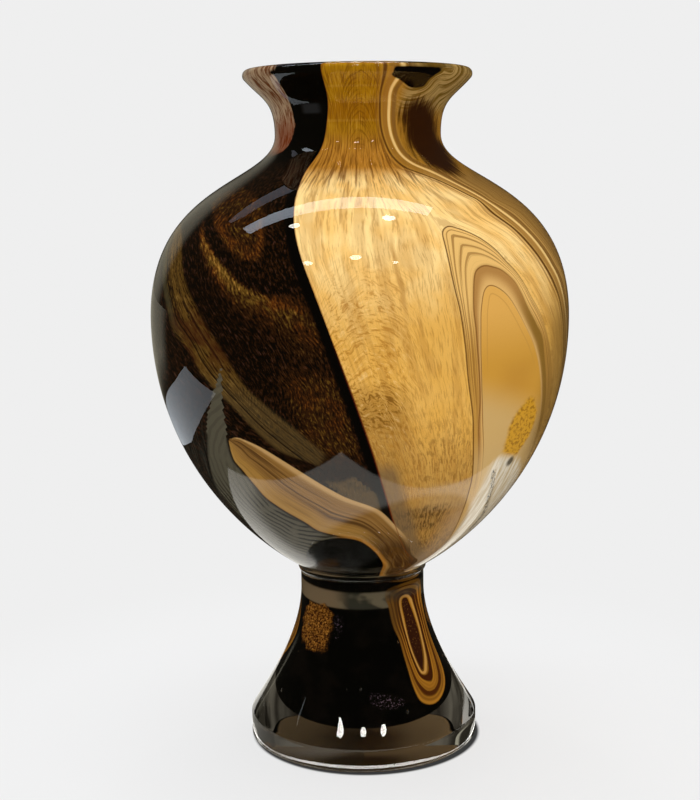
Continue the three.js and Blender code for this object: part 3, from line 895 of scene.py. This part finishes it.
# The wood-like part of the ochre field: streaks along the flow, curls in the middle, plank arches on the neck
def woodGrain(f, neckAndLipShade):
    across, along, height, degrees = (f.reading(n) for n in ("grainAcross", "along", "height", "degrees"))
    aside = degrees - 1.0
    wave = f.grain(across * 0.1, along * 0.05, 7.0) - 0.5
    middle = f.stroke(aside, 6, 13) * f.smooth(height, 146, 178) * f.smooth(height, 250, 226)
    fine = f.grain(across * 2.2 + wave * 4.0, along * 0.11, 0.0, 3.0, 0.65)
    shoulderFine = f.grain(across * 0.9 + wave * 2.0, along * 0.07, 6.0, 3.0, 0.65)
    neckFine = f.grain(degrees * 1.7 + wave * 2.0, along * 0.09, 3.0, 3.0, 0.65)
    fine = f.between(fine, shoulderFine, f.smooth(height, 246, 262))
    fine = f.between(fine, neckFine, f.smooth(height, 278, 288))
    fineDark = f.smooth(height, 190, 120) * 0.3 + 0.42
    broad = f.smooth(f.grain(across * 0.33, along * 0.022, 4.0), 0.53, 0.4) * (1 - neckAndLipShade)
    arch = along + aside * aside * 0.11 + wave * 12.0
    curls = f.grain(arch * 0.72, degrees * 0.5 + wave * 6.0, 9.0, 3.0, 0.66)
    knot = f.stroke(height - 182, 3, 12) * f.stroke(degrees - 3, 3, 9)
    neckArch = along + aside * aside * 0.12 + wave * 3.0
    plank = f.grain(neckArch * 0.75, degrees * 0.06, 2.0, 3.0, 0.62)
    plankIn = f.stroke(aside, 7, 8) * f.smooth(height, 286, 298)
    streaks = f.grain(degrees * 0.9 + wave * 2.0, along * 0.035, 12.0, 3.0, 0.6)
    lowNeck = f.stroke(height - 285, 6, 13) * f.smooth(height, 266, 275)
    dense = f.grain(across * 1.05 + wave * 3.0, along * 0.22, 1.0, 3.0, 0.68)
    darkPatch = f.stroke(height - 127, 4, 5) * f.smooth(degrees, 40, 26)
    besideSeam = f.smooth(f.reading("seam"), 11, 5) * f.smooth(height, 160, 151)
    dapple = f.grain(across * 0.12, along * 0.06, 5.0)
    return f.layers(f.blend((255, 218, 146), (247, 198, 116), (dapple, 0.36, 0.64)), [
        # painted shade: the base colour grows deeper down the bowl, away from the overhead light
        ((224, 168, 72), (height, 252, 206), 0.86),  # deeper down the bowl
        ((174, 130, 62), (height, 185, 130), 0.9),
        ((150, 108, 46), (degrees, 17, 8), (height, 196, 170), 0.5),
        # partly painted shade: the neck's deeper amber stands for the lip's shadow over it
        ((192, 132, 46), neckAndLipShade),  # amber neck, olive towards the lip
        ((166, 118, 14), (height, 288, 304)),
        ((146, 92, 8), f.stroke(height - 309, 3.5, 3), 0.7),  # level bands round the neck
        ((178, 132, 40), f.stroke(height - 305, 0.3, 0.6), 0.5),
        # painted highlight: a light line where the lip's bead refracts, just under the lip
        ((178, 132, 40), f.stroke(height - 320.8, 0.2, 0.5), 0.6),
        ((166, 112, 44), broad, 0.3),
        ((150, 100, 36), (fine, 0.5, 0.38), fineDark, (1 - middle * 0.5)),
        ((164, 104, 24), (curls, 0.5, 0.38), middle, 0.6),
        ((150, 102, 32), knot, 0.45),
        ((92, 56, 14), (curls, 0.5, 0.4), knot, 0.6),
        ((255, 222, 156), (curls, 0.56, 0.68), middle, 0.3),
        ((96, 54, 6), (plank, 0.49, 0.4), plankIn, 0.55),
        ((100, 56, 6), (fine, 0.52, 0.38), neckAndLipShade, 0.6),
        ((206, 160, 66), (fine, 0.56, 0.68), neckAndLipShade, 0.4),
        ((104, 58, 18), (streaks, 0.52, 0.4), lowNeck, 0.72),  # bold streaks low on the neck
        ((124, 84, 34), (dense, 0.52, 0.4), (height, 192, 160), 0.5),
        ((186, 154, 108), f.stroke(height - 138, 5, 4), (degrees, 14, 30), 0.5),
        ((112, 84, 50), darkPatch, 0.4),
        ((66, 44, 22), (dense, 0.56, 0.42), darkPatch, 0.7),
        ((82, 54, 28), (dense, 0.62, 0.4), (height, 124, 110), 0.8),
        ((112, 90, 62), besideSeam, 0.75),
    ])


# Nested loops on the right: contour lines between the outer and the second, a soft band, then smooth ochre
def nestedLoops(f):
    along, height, degrees = (f.reading(n) for n in ("along", "height", "degrees"))
    outer, second, third = (f.reading(n) for n in ("outerLoop", "secondLoop", "thirdLoop"))
    nest = outer / (outer - second + 0.001)
    contours = f.grain(f.math("POWER", nest, 0.6) * 11.5, along * 0.01, 3.0, 2.0, 0.6)
    contourDark = f.smooth(nest, 1.0, 0.4) * 0.35 + 0.35
    leftLeg = f.smooth(degrees, 50, 34)
    rightSide = f.smooth(degrees, 40, 52) * f.smooth(height, 238, 218)
    ring = second / (second - third + 0.001)
    band = f.blend((176, 128, 68), (222, 176, 106), (ring, 0.2, 1.0))
    band = f.blend(band, (132, 96, 34), rightSide, (ring, 1.1, 0.5), 0.9)
    heart = f.layers(f.blend((222, 168, 84), (202, 148, 58), (height, 226, 196)), [
        ((184, 130, 50), f.stroke(height - 191, 2, 10), f.stroke(degrees - 45, 1, 9), 0.45),
        ((204, 168, 108), (height + (degrees - 45) * 0.5, 190, 170), 0.9),
        ((176, 126, 60), f.stroke(third - 3.4, 0.05, 0.4), (height, 190, 205), 0.4),
    ])
    return f.layers(f.blend((232, 186, 110), (194, 144, 66), (height, 230, 200)), [
        ((136, 92, 38), (contours, 0.5, 0.4), contourDark),
        (band, (second, -1.6, 0.6)),
        (heart, (third, -0.2, 0.6)),
        ((132, 88, 36), f.stroke(third, 0.06, 0.35), (leftLeg * 0.6 + 0.3)),  # outlines of the inner loops
        ((116, 74, 28), f.stroke(second, 0.1, 0.4), (leftLeg * 0.6 + 0.2)),
        ((200, 166, 110), (height, 168, 150), 0.6),
    ])


# Parallel lines from the neck over the shoulder and down the right side, on browner glass
def sideLines(f, under, neckAndLipShade):
    along, height, degrees, lanes = (f.reading(n) for n in ("along", "height", "degrees", "neckAcross"))
    lane = lanes + (f.grain(along * 0.03, lanes * 0.5, 0.0, 1.0) - 0.5) * 0.25
    fades = f.smooth(height, 150, 215)
    stripes = f.grain(lane * 2.6, along * 0.01, 6.0, 3.0, 0.6)
    side = f.layers(f.blend((206, 160, 84), (132, 92, 40), (stripes, 0.56, 0.42), 0.85), [
        ((136, 98, 44), (lane, 1.4, 3.0), 0.8),
        ((130, 98, 48), (degrees, 64, 76), (height, 232, 200), 0.8),
        # amber on the neck, partly painted shade of the lip
        ((172, 120, 30), neckAndLipShade, 0.8),
    ])
    rightShade = f.smooth(degrees, 53, 66) * f.smooth(height, 238, 208) * f.smooth(height, 136, 166)
    # painted reflection: a pale grey veil low on the right, where the white board under the vase shows in the
    # glass
    lowBoardReflection = f.smooth(degrees, 28, 42) * f.smooth(height, 138, 126)
    return f.layers(under, [
        (side, (lane, -0.4, 0.1), (height, 120, 170)),
        ((98, 60, 22), f.stroke(lane, 0.05, 0.13), fades),
        ((120, 76, 28), f.stroke(lane + 0.42, 0.03, 0.12), fades, 0.6),
        ((140, 92, 36), f.stroke(lane - 0.55, 0.14, 0.2), fades, 0.6),
        ((236, 196, 122), f.stroke(lane - 1.0, 0.07, 0.14), fades),
        ((120, 80, 34), f.stroke(lane - 1.5, 0.14, 0.22), fades, 0.8),
        ((124, 92, 42), rightShade, 0.72),
        # painted reflection of the white board
        ((172, 144, 112), lowBoardReflection, (f.reading("outerLoop"), 0.5, -1.0), 0.6),
    ])


# Olive glass at the right of the lip, a soft dark patch under it and a black one at the rim; low on the right
# an amber patch, a pale veil with black flecks, and a dark spot
def ochrePatches(f, under):
    along, height, degrees = (f.reading(n) for n in ("along", "height", "degrees"))
    ruffle = (f.grain(degrees * 0.25, along * 0.35, 2.0, 3.0, 0.6) - 0.5) * 5
    lipArcs = f.grain(f.reading("halfOval") * 0.7, degrees * 0.04, 6.0, 3.0, 0.6)
    olive = f.blend((168, 140, 84), (96, 72, 24), (lipArcs, 0.54, 0.42))
    smudge = f.grain(degrees * 0.5, along * 0.05, 8.0, 3.0, 0.66)
    patchIn = f.reading("neckPatch") + ruffle * 0.5 + (smudge - 0.5) * 16
    mottle = f.grain(degrees * 0.7, along * 0.6, 3.0, 3.0, 0.6)
    amber = f.blend((206, 150, 34), (156, 106, 16), (mottle, 0.54, 0.38))
    veil = f.grain(degrees * 0.8, along * 0.05, 1.0, 3.0, 0.6)
    pale = f.blend((192, 172, 138), (226, 218, 200), (veil, 0.4, 0.62))
    speck = f.grain(degrees * 2.2, along * 0.8, 1.0, 2.0, 0.6)
    return f.layers(under, [
        (olive, (degrees, 22, 34), (height, 304, 314), 0.85),
        ((92, 56, 14), (patchIn, -6.5, 0.0), 0.8),
        ((36, 12, 3), (patchIn, -4.5, 2.5), 0.94),
        ((5, 3, 2), (f.reading("halfOval") + ruffle * 0.12, -0.3, 0.5)),
        (amber, (f.reading("goldPatch") + ruffle * 0.6, -1.6, 1.6), 0.9),
        (pale, (f.reading("palePatch") + ruffle * 0.25, -3.0, 3.0), 0.85),
        ((40, 36, 32), f.stroke(f.reading("flecks"), 0.5, 1.6), (speck, 0.54, 0.46)),
        ((66, 56, 40), (f.reading("spot") + ruffle * 0.15, -1.6, 0.8), 0.9),
    ])


def ochreMarbling():
    f = Finish("ochre marbled glass")
    across, along, height, degrees = (f.reading(n) for n in ("grainAcross", "along", "height", "degrees"))
    outer = f.reading("outerLoop")
    # the neck above the shoulder; its deeper amber is partly the glass's own colour and partly painted shade,
    # where the lip shades the neck
    neckAndLipShade = f.smooth(height, 275.5, 283)
    wave = f.grain(across * 0.1, along * 0.05, 7.0) - 0.5
    streak = f.stroke(across - 29.0 + wave * 4.0, 0.15, 0.7)
    streak = streak * f.smooth(height, 216, 228) * f.smooth(height, 258, 248)
    colour = f.layers(woodGrain(f, neckAndLipShade), [
        (nestedLoops(f), (outer, -0.3, 0.6)),
        ((92, 56, 20), f.stroke(outer, 0.14, 0.36), (degrees, 64, 34), 0.9),  # the loop's line
        ((178, 128, 62), streak, 0.6),
    ])
    colour = overlayTongue(f, ochrePatches(f, sideLines(f, colour, neckAndLipShade)))
    return marbledGlass(f, f.blend(colour, (120, 62, 20), f.stroke(f.reading("seam"), 0.1, 0.5), 0.7))


# Speckle drawn out along the flow, from black over red-brown and olive to gold, and the streaky band over it
def goldSpeckle(f):
    across, along, height, level = (f.reading(n) for n in ("flowAcross", "along", "height", "level"))
    drift = (f.grain(across * 0.1, along * 0.06, 9.0) - 0.5) * 6
    flecks = f.grain(across * 1.5 + drift, along * 0.34, 0.0, 3.0, 0.68)
    hue = f.grain(across * 0.14, along * 0.09, 5.0, 3.0)
    amount = flecks + (level - 0.5) * 0.38
    brown = f.blend((88, 46, 12), (88, 62, 20), (hue, 0.42, 0.58))
    purple = f.smooth(flecks, 0.58, 0.7) * f.smooth(level, 0.3, 0.05) * f.smooth(level, -0.5, -0.1)
    lane = f.reading("bandShare") + (f.grain(along * 0.03, 1.0, 0.0, 1.0) - 0.5) * 0.12
    lines = f.grain(lane * 13, along * 0.02, 3.0, 3.0, 0.65)
    mottle = flecks * 0.5 + lines * 0.5
    band = f.layers(f.blend((26, 15, 4), (88, 62, 22), (mottle, 0.42, 0.52)), [
        ((140, 108, 54), (mottle, 0.54, 0.64), 0.7),
        ((58, 26, 9), f.stroke(height - 210, 5, 12), (hue, 0.38, 0.52), 0.7),
        ((66, 56, 36), (height, 200, 180), 0.5),
        ((62, 58, 38), (lane, 0.36, 0.1), (height, 206, 226), 0.7),
        ((12, 7, 3), f.stroke(lane - 0.3, 0.01, 0.03), 0.9),  # thin dark lines along it
        ((16, 9, 4), f.stroke(lane - 0.42, 0.006, 0.02), 0.8),
        ((16, 9, 4), f.stroke(lane - 0.75, 0.006, 0.03), 0.6),
    ])
    return f.layers(f.blend((9, 5, 2), (42, 22, 7), (amount, 0.3, 0.44)), [
        (brown, (amount, 0.46, 0.6)),
        ((160, 116, 48), (amount, 0.6, 0.78)),
        ((58, 40, 42), purple, 0.5),
        (band, (f.reading("bandIn"), -1.4, 1.8), 0.95),
    ])


# The quiet left side below: fine contour lines, and ripples round a centre low under the tongue
def quietSide(f, under):
    along, height, degrees, feather = (f.reading(n) for n in ("along", "height", "degrees", "feather"))
    lower = f.smooth(height, 186, 150) * f.smooth(degrees, -35, -46)
    contour = f.grain(feather * 0.8, along * 0.02, 7.0, 3.0, 0.6)
    fromCentre = f.vectorMath("DISTANCE", f.vector(degrees * 1.3, along), (-27.0, 84.0, 0.0))
    swell = f.grain(degrees * 0.08, along * 0.08, 1.0, 1.0)
    ripple = f.math("SINE", fromCentre * 1.75 + swell * 7.0)
    rippled = f.smooth(f.reading("rippleIn"), 0.2, 2.5) * f.smooth(height, 96, 108)
    rippleDark = f.smooth(ripple, 0.1, -0.8) * rippled * f.smooth(swell, 0.26, 0.42)
    return f.layers(under, [
        ((54, 55, 48), (contour, 0.42, 0.64), lower, 0.6),
        ((8, 6, 4), f.stroke(f.reading("arcs"), 0.3, 0.9), 0.9),
        ((8, 6, 4), f.stroke(feather, 0.3, 0.8), (height, 150, 125), 0.9),
        ((84, 79, 64), rippled, 0.85),
        ((16, 14, 10), rippleDark, (f.smooth(height, 148, 130) * 0.7 + 0.2)),
    ])


def darkMarbling():
    f = Finish("dark marbled glass")
    along, height, degrees = (f.reading(n) for n in ("along", "height", "degrees"))
    seam, inLobe = f.reading("seam"), f.reading("lobeIn")
    pinkEdge = f.reading("pinkIn") + (f.grain(degrees * 0.2, along * 0.3) - 0.5) * 2
    blush = f.grain(degrees * 0.5, along * 0.12, 6.0, 3.0, 0.6)
    tan = f.blend((160, 134, 104), (96, 52, 26), (blush, 0.42, 0.6))
    tan = f.blend(tan, (110, 44, 16), (height, 312, 300), 0.7)
    colour = f.layers(quietSide(f, goldSpeckle(f)), [
        ((4, 3, 2), (seam, 5.0, 3.0), 0.95),  # black beside the seam, with a reddish hairline
        ((96, 36, 16), f.stroke(seam, 0.15, 0.5), (height, 215, 190), 0.8),
        ((5, 4, 2), (height, 278, 288)),  # the neck is black, with tan glass at its left
        # painted reflection: a grey band round the neck, where the white board under the vase shows
        ((38, 38, 38), f.stroke(height - 311, 1.5, 1.5), f.stroke(degrees + 33, 4, 5), 0.7),
        (tan, (pinkEdge, 0.8, -0.2), (height, 286, 292), (degrees, -92, -80)),
    ])
    # the black lobe over the tongue, with an amber edge
    return marbledGlass(f, f.layers(overlayTongue(f, colour), [
        ((170, 112, 40), (inLobe, -2.6, -0.4), (degrees, -14, -4), 0.8),
        ((4, 4, 2), (inLobe, -0.3, 0.4)),
    ]))


def coreMarbling():
    f = Finish("core marbled glass")
    degrees, height, share = (f.reading(n) for n in ("degrees", "height", "loopShare"))
    place = f.place("Object")
    spread = f.node("ShaderNodeVectorMath", {"operation": "SCALE"}, {0: place, "Scale": 1 / mm})
    grit = f.noise(spread, 0.95, 4.0, 0.7)
    # painted reflection: a grey-olive band at the waist, where the upright glass mirrors the floor
    waistReflectionCloud = f.grain(degrees * 0.03, height * 0.12, 2.0)
    waistReflection = f.blend((50, 48, 38), (100, 90, 70), (waistReflectionCloud, 0.46, 0.62))
    waistReflection = f.blend(waistReflection, (110, 92, 68), (degrees, -14, -40))
    # the underside is dark brown, lighter outwards, and shows through the pad of clear glass
    under = f.blend((72, 52, 30), (122, 100, 70), (f.vectorMath("LENGTH", place), 0.011, 0.021))
    under = f.blend(under, (64, 54, 38), (degrees, -18, -48), 0.6)
    gilt = f.blend((36, 15, 4), (124, 78, 26), (grit, 0.42, 0.58))
    gilt = f.blend(gilt, (206, 150, 66), (grit, 0.6, 0.7))
    giltIn = f.reading("goldPatch") + (f.noise(spread, 0.25, 3.0) - 0.5) * 7
    # nested loops: from a dark speckled heart outwards to gold and a black edge
    rings = f.grain(share * 5.5, height * 0.012, 4.0, 1.0)
    gold = f.layers(f.blend((70, 34, 8), (168, 112, 32), (rings, 0.42, 0.58)), [
        ((186, 136, 64), f.stroke(share - 0.13, 0.03, 0.06)),
        ((58, 26, 6), f.stroke(share - 0.3, 0.04, 0.08)),
        ((172, 116, 36), (share, 0.7, 0.95), 0.6),
        ((72, 48, 20), (degrees, 56, 38), (height, 40, 66), 0.8),
    ])
    goldIn = f.smooth(f.reading("loopOuter"), -0.2, 0.8) * (f.smooth(height, 77, 71) * 0.7 + 0.3)
    heart = f.blend((46, 20, 8), (132, 88, 34), (grit, 0.58, 0.68), (height, 36, 56))
    black = f.blend((2, 2, 1), (7, 5, 3), (f.noise(spread, 0.08), 0.45, 0.65))
    return marbledGlass(f, f.layers(black, [
        (waistReflection, (height, 69.5, 70.8), (height, 79.5, 78), 0.8),
        (under, (height, 10.5, 10.1)),
        (gilt, (giltIn, -1.5, 1.5)),
        ((92, 74, 84), (f.reading("purple"), -0.8, 1.0), (grit, 0.54, 0.64), 0.7),
        (gold, goldIn),
        (heart, (f.reading("loopInner"), -0.3, 0.3)),
    ]))


print("finishing the glass")
casingGlass = clearGlass("clear casing glass", (0.98, 0.98, 0.97, 1))
footGlass = clearGlass("clear foot glass", (0.98, 0.98, 0.965, 1))
ringGlass = clearGlass("ring glass", (0.97, 0.97, 0.95, 1))
dress = [
    (casingPiece, casingGlass, "clear_glass", ("clear_casing",)),
    (liningPiece, casingGlass, "clear_glass", ("clear_lining",)),
    (footPiece, footGlass, "clear_glass", ("clear_foot",)),
    (ringPiece, ringGlass, "ring_glass", ("waist_ring",)),
    (corePiece, coreMarbling(), "core_glass", ("marbled_foot_core",)),
    (darkPiece, darkMarbling(), "dark_glass", ("dark_glass_field",)),
    (ochrePiece, ochreMarbling(), "ochre_glass", ("ochre_glass_field",)),
]
for piece, material, slot, nodes in dress:
    piece.data.materials.append(material)
    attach(piece, "root")
    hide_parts(*nodes)

# The studio: a pale floor, lamps overhead, and a world that the camera sees as white. Mirror rays see a dark
# room with a white board under the vase and a bright card at the left. Rays through the glass see a dim olive
# room. A reach is the pair of distances, or of likenesses in direction, between which something fades.
studio = dict(
    white=0.863, floorLevel=-0.3 * mm, floorSize=6.0, floorTone=(0.84, 0.84, 0.84, 1),
    shadeReach=(0.3, 0.1), shadeShare=0.35,
    contactCentre=(0.0012, -0.0006, 0), contactReach=(0.0586, 0.0564), contactShare=0.95,
    boardCentre=(-0.044, 0.02), boardLeft=0.183, boardRight=0.3, boardDeep=0.238, boardEdge=(1.02, 0.98),
    boardTone=(1.1, 1.07, 0.98, 1), shadowCentre=(0.045, 0, 0), shadowReach=(0.095, 0.11),
    dimCentre=(-0.094, -0.018, 0), dimReach=(0.088, 0.035), dimShare=0.66,
    roomDiffuse=(1.05, 1.05, 1.05, 1), roomGlossy=(0.024, 0.021, 0.015, 1), rimGlow=(0.33, 0.31, 0.24, 1),
    rimWay=(-0.454, 0.868, 0.202), rimReach=(0.94, 0.988),
    floorRimWay=(-0.5, 0.866, 0), floorRimReach=(0.9, 0.98), floorRimFar=(0.7, 1.3),
    veilDark=(0.012, 0.01, 0.007, 1), veilLight=(0.105, 0.094, 0.072, 1), floorVeil=14.0, roomVeil=3.0,
)


# What rays through the glass meet: dim olive veils
def veils(f, place, scale):
    cloud = f.noise(place, scale, 3.0, 0.6)
    return f.blend(studio["veilDark"], studio["veilLight"], f.smooth(cloud, 0.38, 0.64))


def makeFloor():
    half, level = studio["floorSize"], studio["floorLevel"]
    corners = [(-half, -half, level), (half, -half, level), (half, half, level), (-half, half, level)]
    floor = addMesh("studio_floor", corners, [(0, 1, 2, 3)])
    f = Finish("studio floor")
    place = f.place("Object")
    away = f.vectorMath("LENGTH", place)
    # painted shadows: a dark contact crescent round the foot where the camera sees the floor, and for mirror
    # rays the vase's shadow on the board and a soft shade to the left of the foot
    contact, pastShadow, dim = (
        f.smooth(f.vectorMath("DISTANCE", place, studio[n + "Centre"]), *studio[n + "Reach"])
        for n in ("contact", "shadow", "dim")
    )
    shaded = f.smooth(away, *studio["shadeReach"]) * studio["shadeShare"]
    lit = f.node("ShaderNodeBsdfDiffuse", inputs={"Color": studio["floorTone"]})
    plain = f.light((1, 1, 1, 1), (1 - contact * studio["contactShare"]) * studio["white"])
    seen = f.eitherShader(plain, lit, shaded * (1 - contact))
    # the board is a kite, with its own reach to the left, to the right, and to front and back
    x, y = (f.part(place, axis) - middle for axis, middle in zip("XY", studio["boardCentre"]))
    toLeft, toRight, deep = f.math("MAXIMUM", x * -1, 0.0), f.math("MAXIMUM", x, 0.0), f.math("ABSOLUTE", y)
    reach = toLeft / studio["boardLeft"] + toRight / studio["boardRight"] + deep / studio["boardDeep"]
    onBoard = f.smooth(reach, *studio["boardEdge"]) * pastShadow * (1 - dim * studio["dimShare"])
    level = f.node("ShaderNodeVectorMath", {"operation": "NORMALIZE"}, {0: place})
    glow = f.smooth(f.vectorMath("DOT_PRODUCT", level, studio["floorRimWay"]), *studio["floorRimReach"])
    room = f.blend(studio["roomGlossy"], studio["rimGlow"], glow * f.smooth(away, *studio["floorRimFar"]))
    shader = f.eitherShader(lit, f.light(veils(f, place, studio["floorVeil"])), f.ray("Transmission"))
    shader = f.eitherShader(shader, f.light(f.blend(room, studio["boardTone"], onBoard)), f.ray("Glossy"))
    floor.data.materials.append(f.close(f.eitherShader(shader, seen, f.ray("Camera"))))


def makeWorld():
    scene.world = bpy.data.worlds.new("studio")
    f = Finish("studio", scene.world)
    way = f.place("Generated")
    rim = f.smooth(f.vectorMath("DOT_PRODUCT", way, studio["rimWay"]), *studio["rimReach"])
    shown = f.layers(studio["roomDiffuse"], [
        (f.blend(studio["roomGlossy"], studio["rimGlow"], rim), f.ray("Glossy")),
        (veils(f, way, studio["roomVeil"]), f.ray("Transmission")),
        ((studio["white"],) * 3 + (1,), f.ray("Camera")),
    ])
    f.close(f.node("ShaderNodeBackground", inputs={"Color": shown}))


# A lamp facing down, a disc where it has one size only. The power that gives it a radiance of 1 is pi times
# its area.
def addLamp(name, place, size, radiance, colour):
    data = bpy.data.lights.new(name, "AREA")
    data.shape, data.size = "DISK", size[0]
    area = np.pi * size[0] ** 2 / 4
    if len(size) == 2:
        data.shape, data.size_y = "RECTANGLE", size[1]
        area = size[0] * size[1]
    data.energy, data.color = radiance * np.pi * area, colour
    lamp = bpy.data.objects.new(name, data)
    lamp.location = place
    scene.collection.objects.link(lamp)


# A bright card that only mirror rays see, on the side that its normal points to if one-sided.
# A fade is where in y it starts and ends, and the share of the light left at its end.
def addCard(name, points, faces, tint, strength=1.0, oneSided=False, fade=None):
    card = addMesh(name, points, faces)
    card.visible_camera = card.visible_diffuse = card.visible_transmission = card.visible_shadow = False
    f = Finish(name)
    if fade:
        start, end, left = fade
        strength = (1 - f.smooth(f.part(f.place("Object"), "Y"), start, end) * (1 - left)) * strength
    shader = f.light(tint, strength)
    if oneSided:
        behind = f.node("ShaderNodeNewGeometry", output="Backfacing")
        shader = f.eitherShader(shader, f.node("ShaderNodeBsdfTransparent"), behind)
    card.data.materials.append(f.close(shader))


# Spots are (x, y, width). The cards are what the left side, the far shoulder and the foot mirror, and the
# window card's height falls with x.
lights = dict(
    height=1.0, strip=(-0.17, 0.088), stripSize=(1.03, 0.14), stripRadiance=3.1, stripTone=(0.88, 0.98, 1.12),
    spots=[
        (-0.35, -0.11, 0.07), (0.15, -0.1, 0.07), (-0.49, -0.785, 0.1), (-0.035, -0.75, 0.1),
        (0.34, -0.83, 0.06), (-0.09, 0.385, 0.07), (-0.007, 0.36, 0.09),
    ],
    spotRadiance=14.0, warm=(1, 0.97, 0.92),
    window=[
        (-0.15, 0.28), (-0.26, 0.08), (-0.31, 0.03), (-0.22, -0.075), (-0.172, -0.008), (-0.149, 0.034),
        (-0.13, 0.15),
    ],
    windowRise=0.087, windowSlope=0.16, windowTone=(1.0, 1.08, 1.16, 1), windowStrength=0.9,
    windowFade=(0.0, 0.28, 0.4),
    farStrip=[
        (-0.25, 0.385), (-0.3, 0.52), (-0.43, 0.51), (-0.73, 0.44), (-0.72, 0.38), (-0.59, 0.33),
        (-0.4, 0.36),
    ],
    farTone=(0.44, 0.45, 0.52, 1),
    foot=[
        [
            (-0.0361, -0.0862), (-0.0332, -0.087), (-0.0294, -0.0937), (-0.0305, -0.097), (-0.0363, -0.0985),
            (-0.041, -0.0946),
        ],
        [
            (-0.0034, -0.0955), (0.0009, -0.0956), (0.0029, -0.0982), (0.0007, -0.1013), (-0.0044, -0.1012),
            (-0.0064, -0.0981),
        ],
        [
            (0.0253, -0.0921), (0.0297, -0.0914), (0.032, -0.0946), (0.03, -0.0982), (0.0255, -0.0989),
            (0.0232, -0.0961),
        ],
    ],
    footHeight=0.06, footStrength=22.0,
)
edgeStrip = dict(
    radius=59.5 * mm, low=(1.2 * mm, 0.5 * mm), tall=(1.7 * mm, 0.8 * mm), reach=(0.35, 1.05), end=1.9,
    columns=80, tone=(1, 0.98, 0.95, 1), strength=13.0, fade=(-0.057, -0.034, 0.3),
)
makeFloor()
makeWorld()
lampHeight = lights["height"]
addLamp(
    "overhead strip", (*lights["strip"], lampHeight), lights["stripSize"], lights["stripRadiance"],
    lights["stripTone"],
)
for i, (x, y, width) in enumerate(lights["spots"]):
    addLamp("spot %d" % i, (x, y, lampHeight), (width,), lights["spotRadiance"], lights["warm"])
windowPoints = [(x, y, lights["windowRise"] - lights["windowSlope"] * x) for x, y in lights["window"]]
addCard(
    "left card", windowPoints, [range(len(windowPoints))], lights["windowTone"], lights["windowStrength"],
    fade=lights["windowFade"],
)
farPoints = [(x, y, lampHeight) for x, y in lights["farStrip"]]
addCard("far strip", farPoints, [range(len(farPoints))], lights["farTone"])
for i, corners in enumerate(lights["foot"]):
    points = [(x, y, lights["footHeight"]) for x, y in corners]
    addCard(
        "foot light %d" % i, points, [range(len(corners))], (*lights["warm"], 1), lights["footStrength"],
        oneSided=True,
    )
around = np.linspace(-edgeStrip["end"], edgeStrip["end"], edgeStrip["columns"])
toSide = ease(np.abs(around), *edgeStrip["reach"])
stripLow, stripTall = (
    front + (side - front) * toSide for front, side in (edgeStrip["low"], edgeStrip["tall"])
)
stripPoints = turnedPoints(edgeStrip["radius"], np.stack([stripLow, stripLow + stripTall]), around[None, :])
addCard(
    "edge strip", stripPoints.reshape(-1, 3), gridFaces(2, edgeStrip["columns"], False, False).tolist(),
    edgeStrip["tone"], edgeStrip["strength"], fade=edgeStrip["fade"],
)

# The photograph's viewing angle
view = dict(
    place=(-0.0052, -0.693, 0.2825), pitch=9.19, roll=0.0115, focalPixels=1419.5, imageHeight=800, sensor=36,
)
cameraData = bpy.data.cameras.new("camera")
cameraData.sensor_width = view["sensor"]
cameraData.lens = view["focalPixels"] / view["imageHeight"] * view["sensor"]
camera = bpy.data.objects.new("camera", cameraData)
camera.location = view["place"]
look = Euler((np.radians(90 - view["pitch"]), 0, 0)).to_matrix() @ Euler((0, 0, -view["roll"])).to_matrix()
camera.rotation_euler = look.to_euler()
scene.collection.objects.link(camera)
scene.camera = camera
scene.view_settings.view_transform = "Standard"
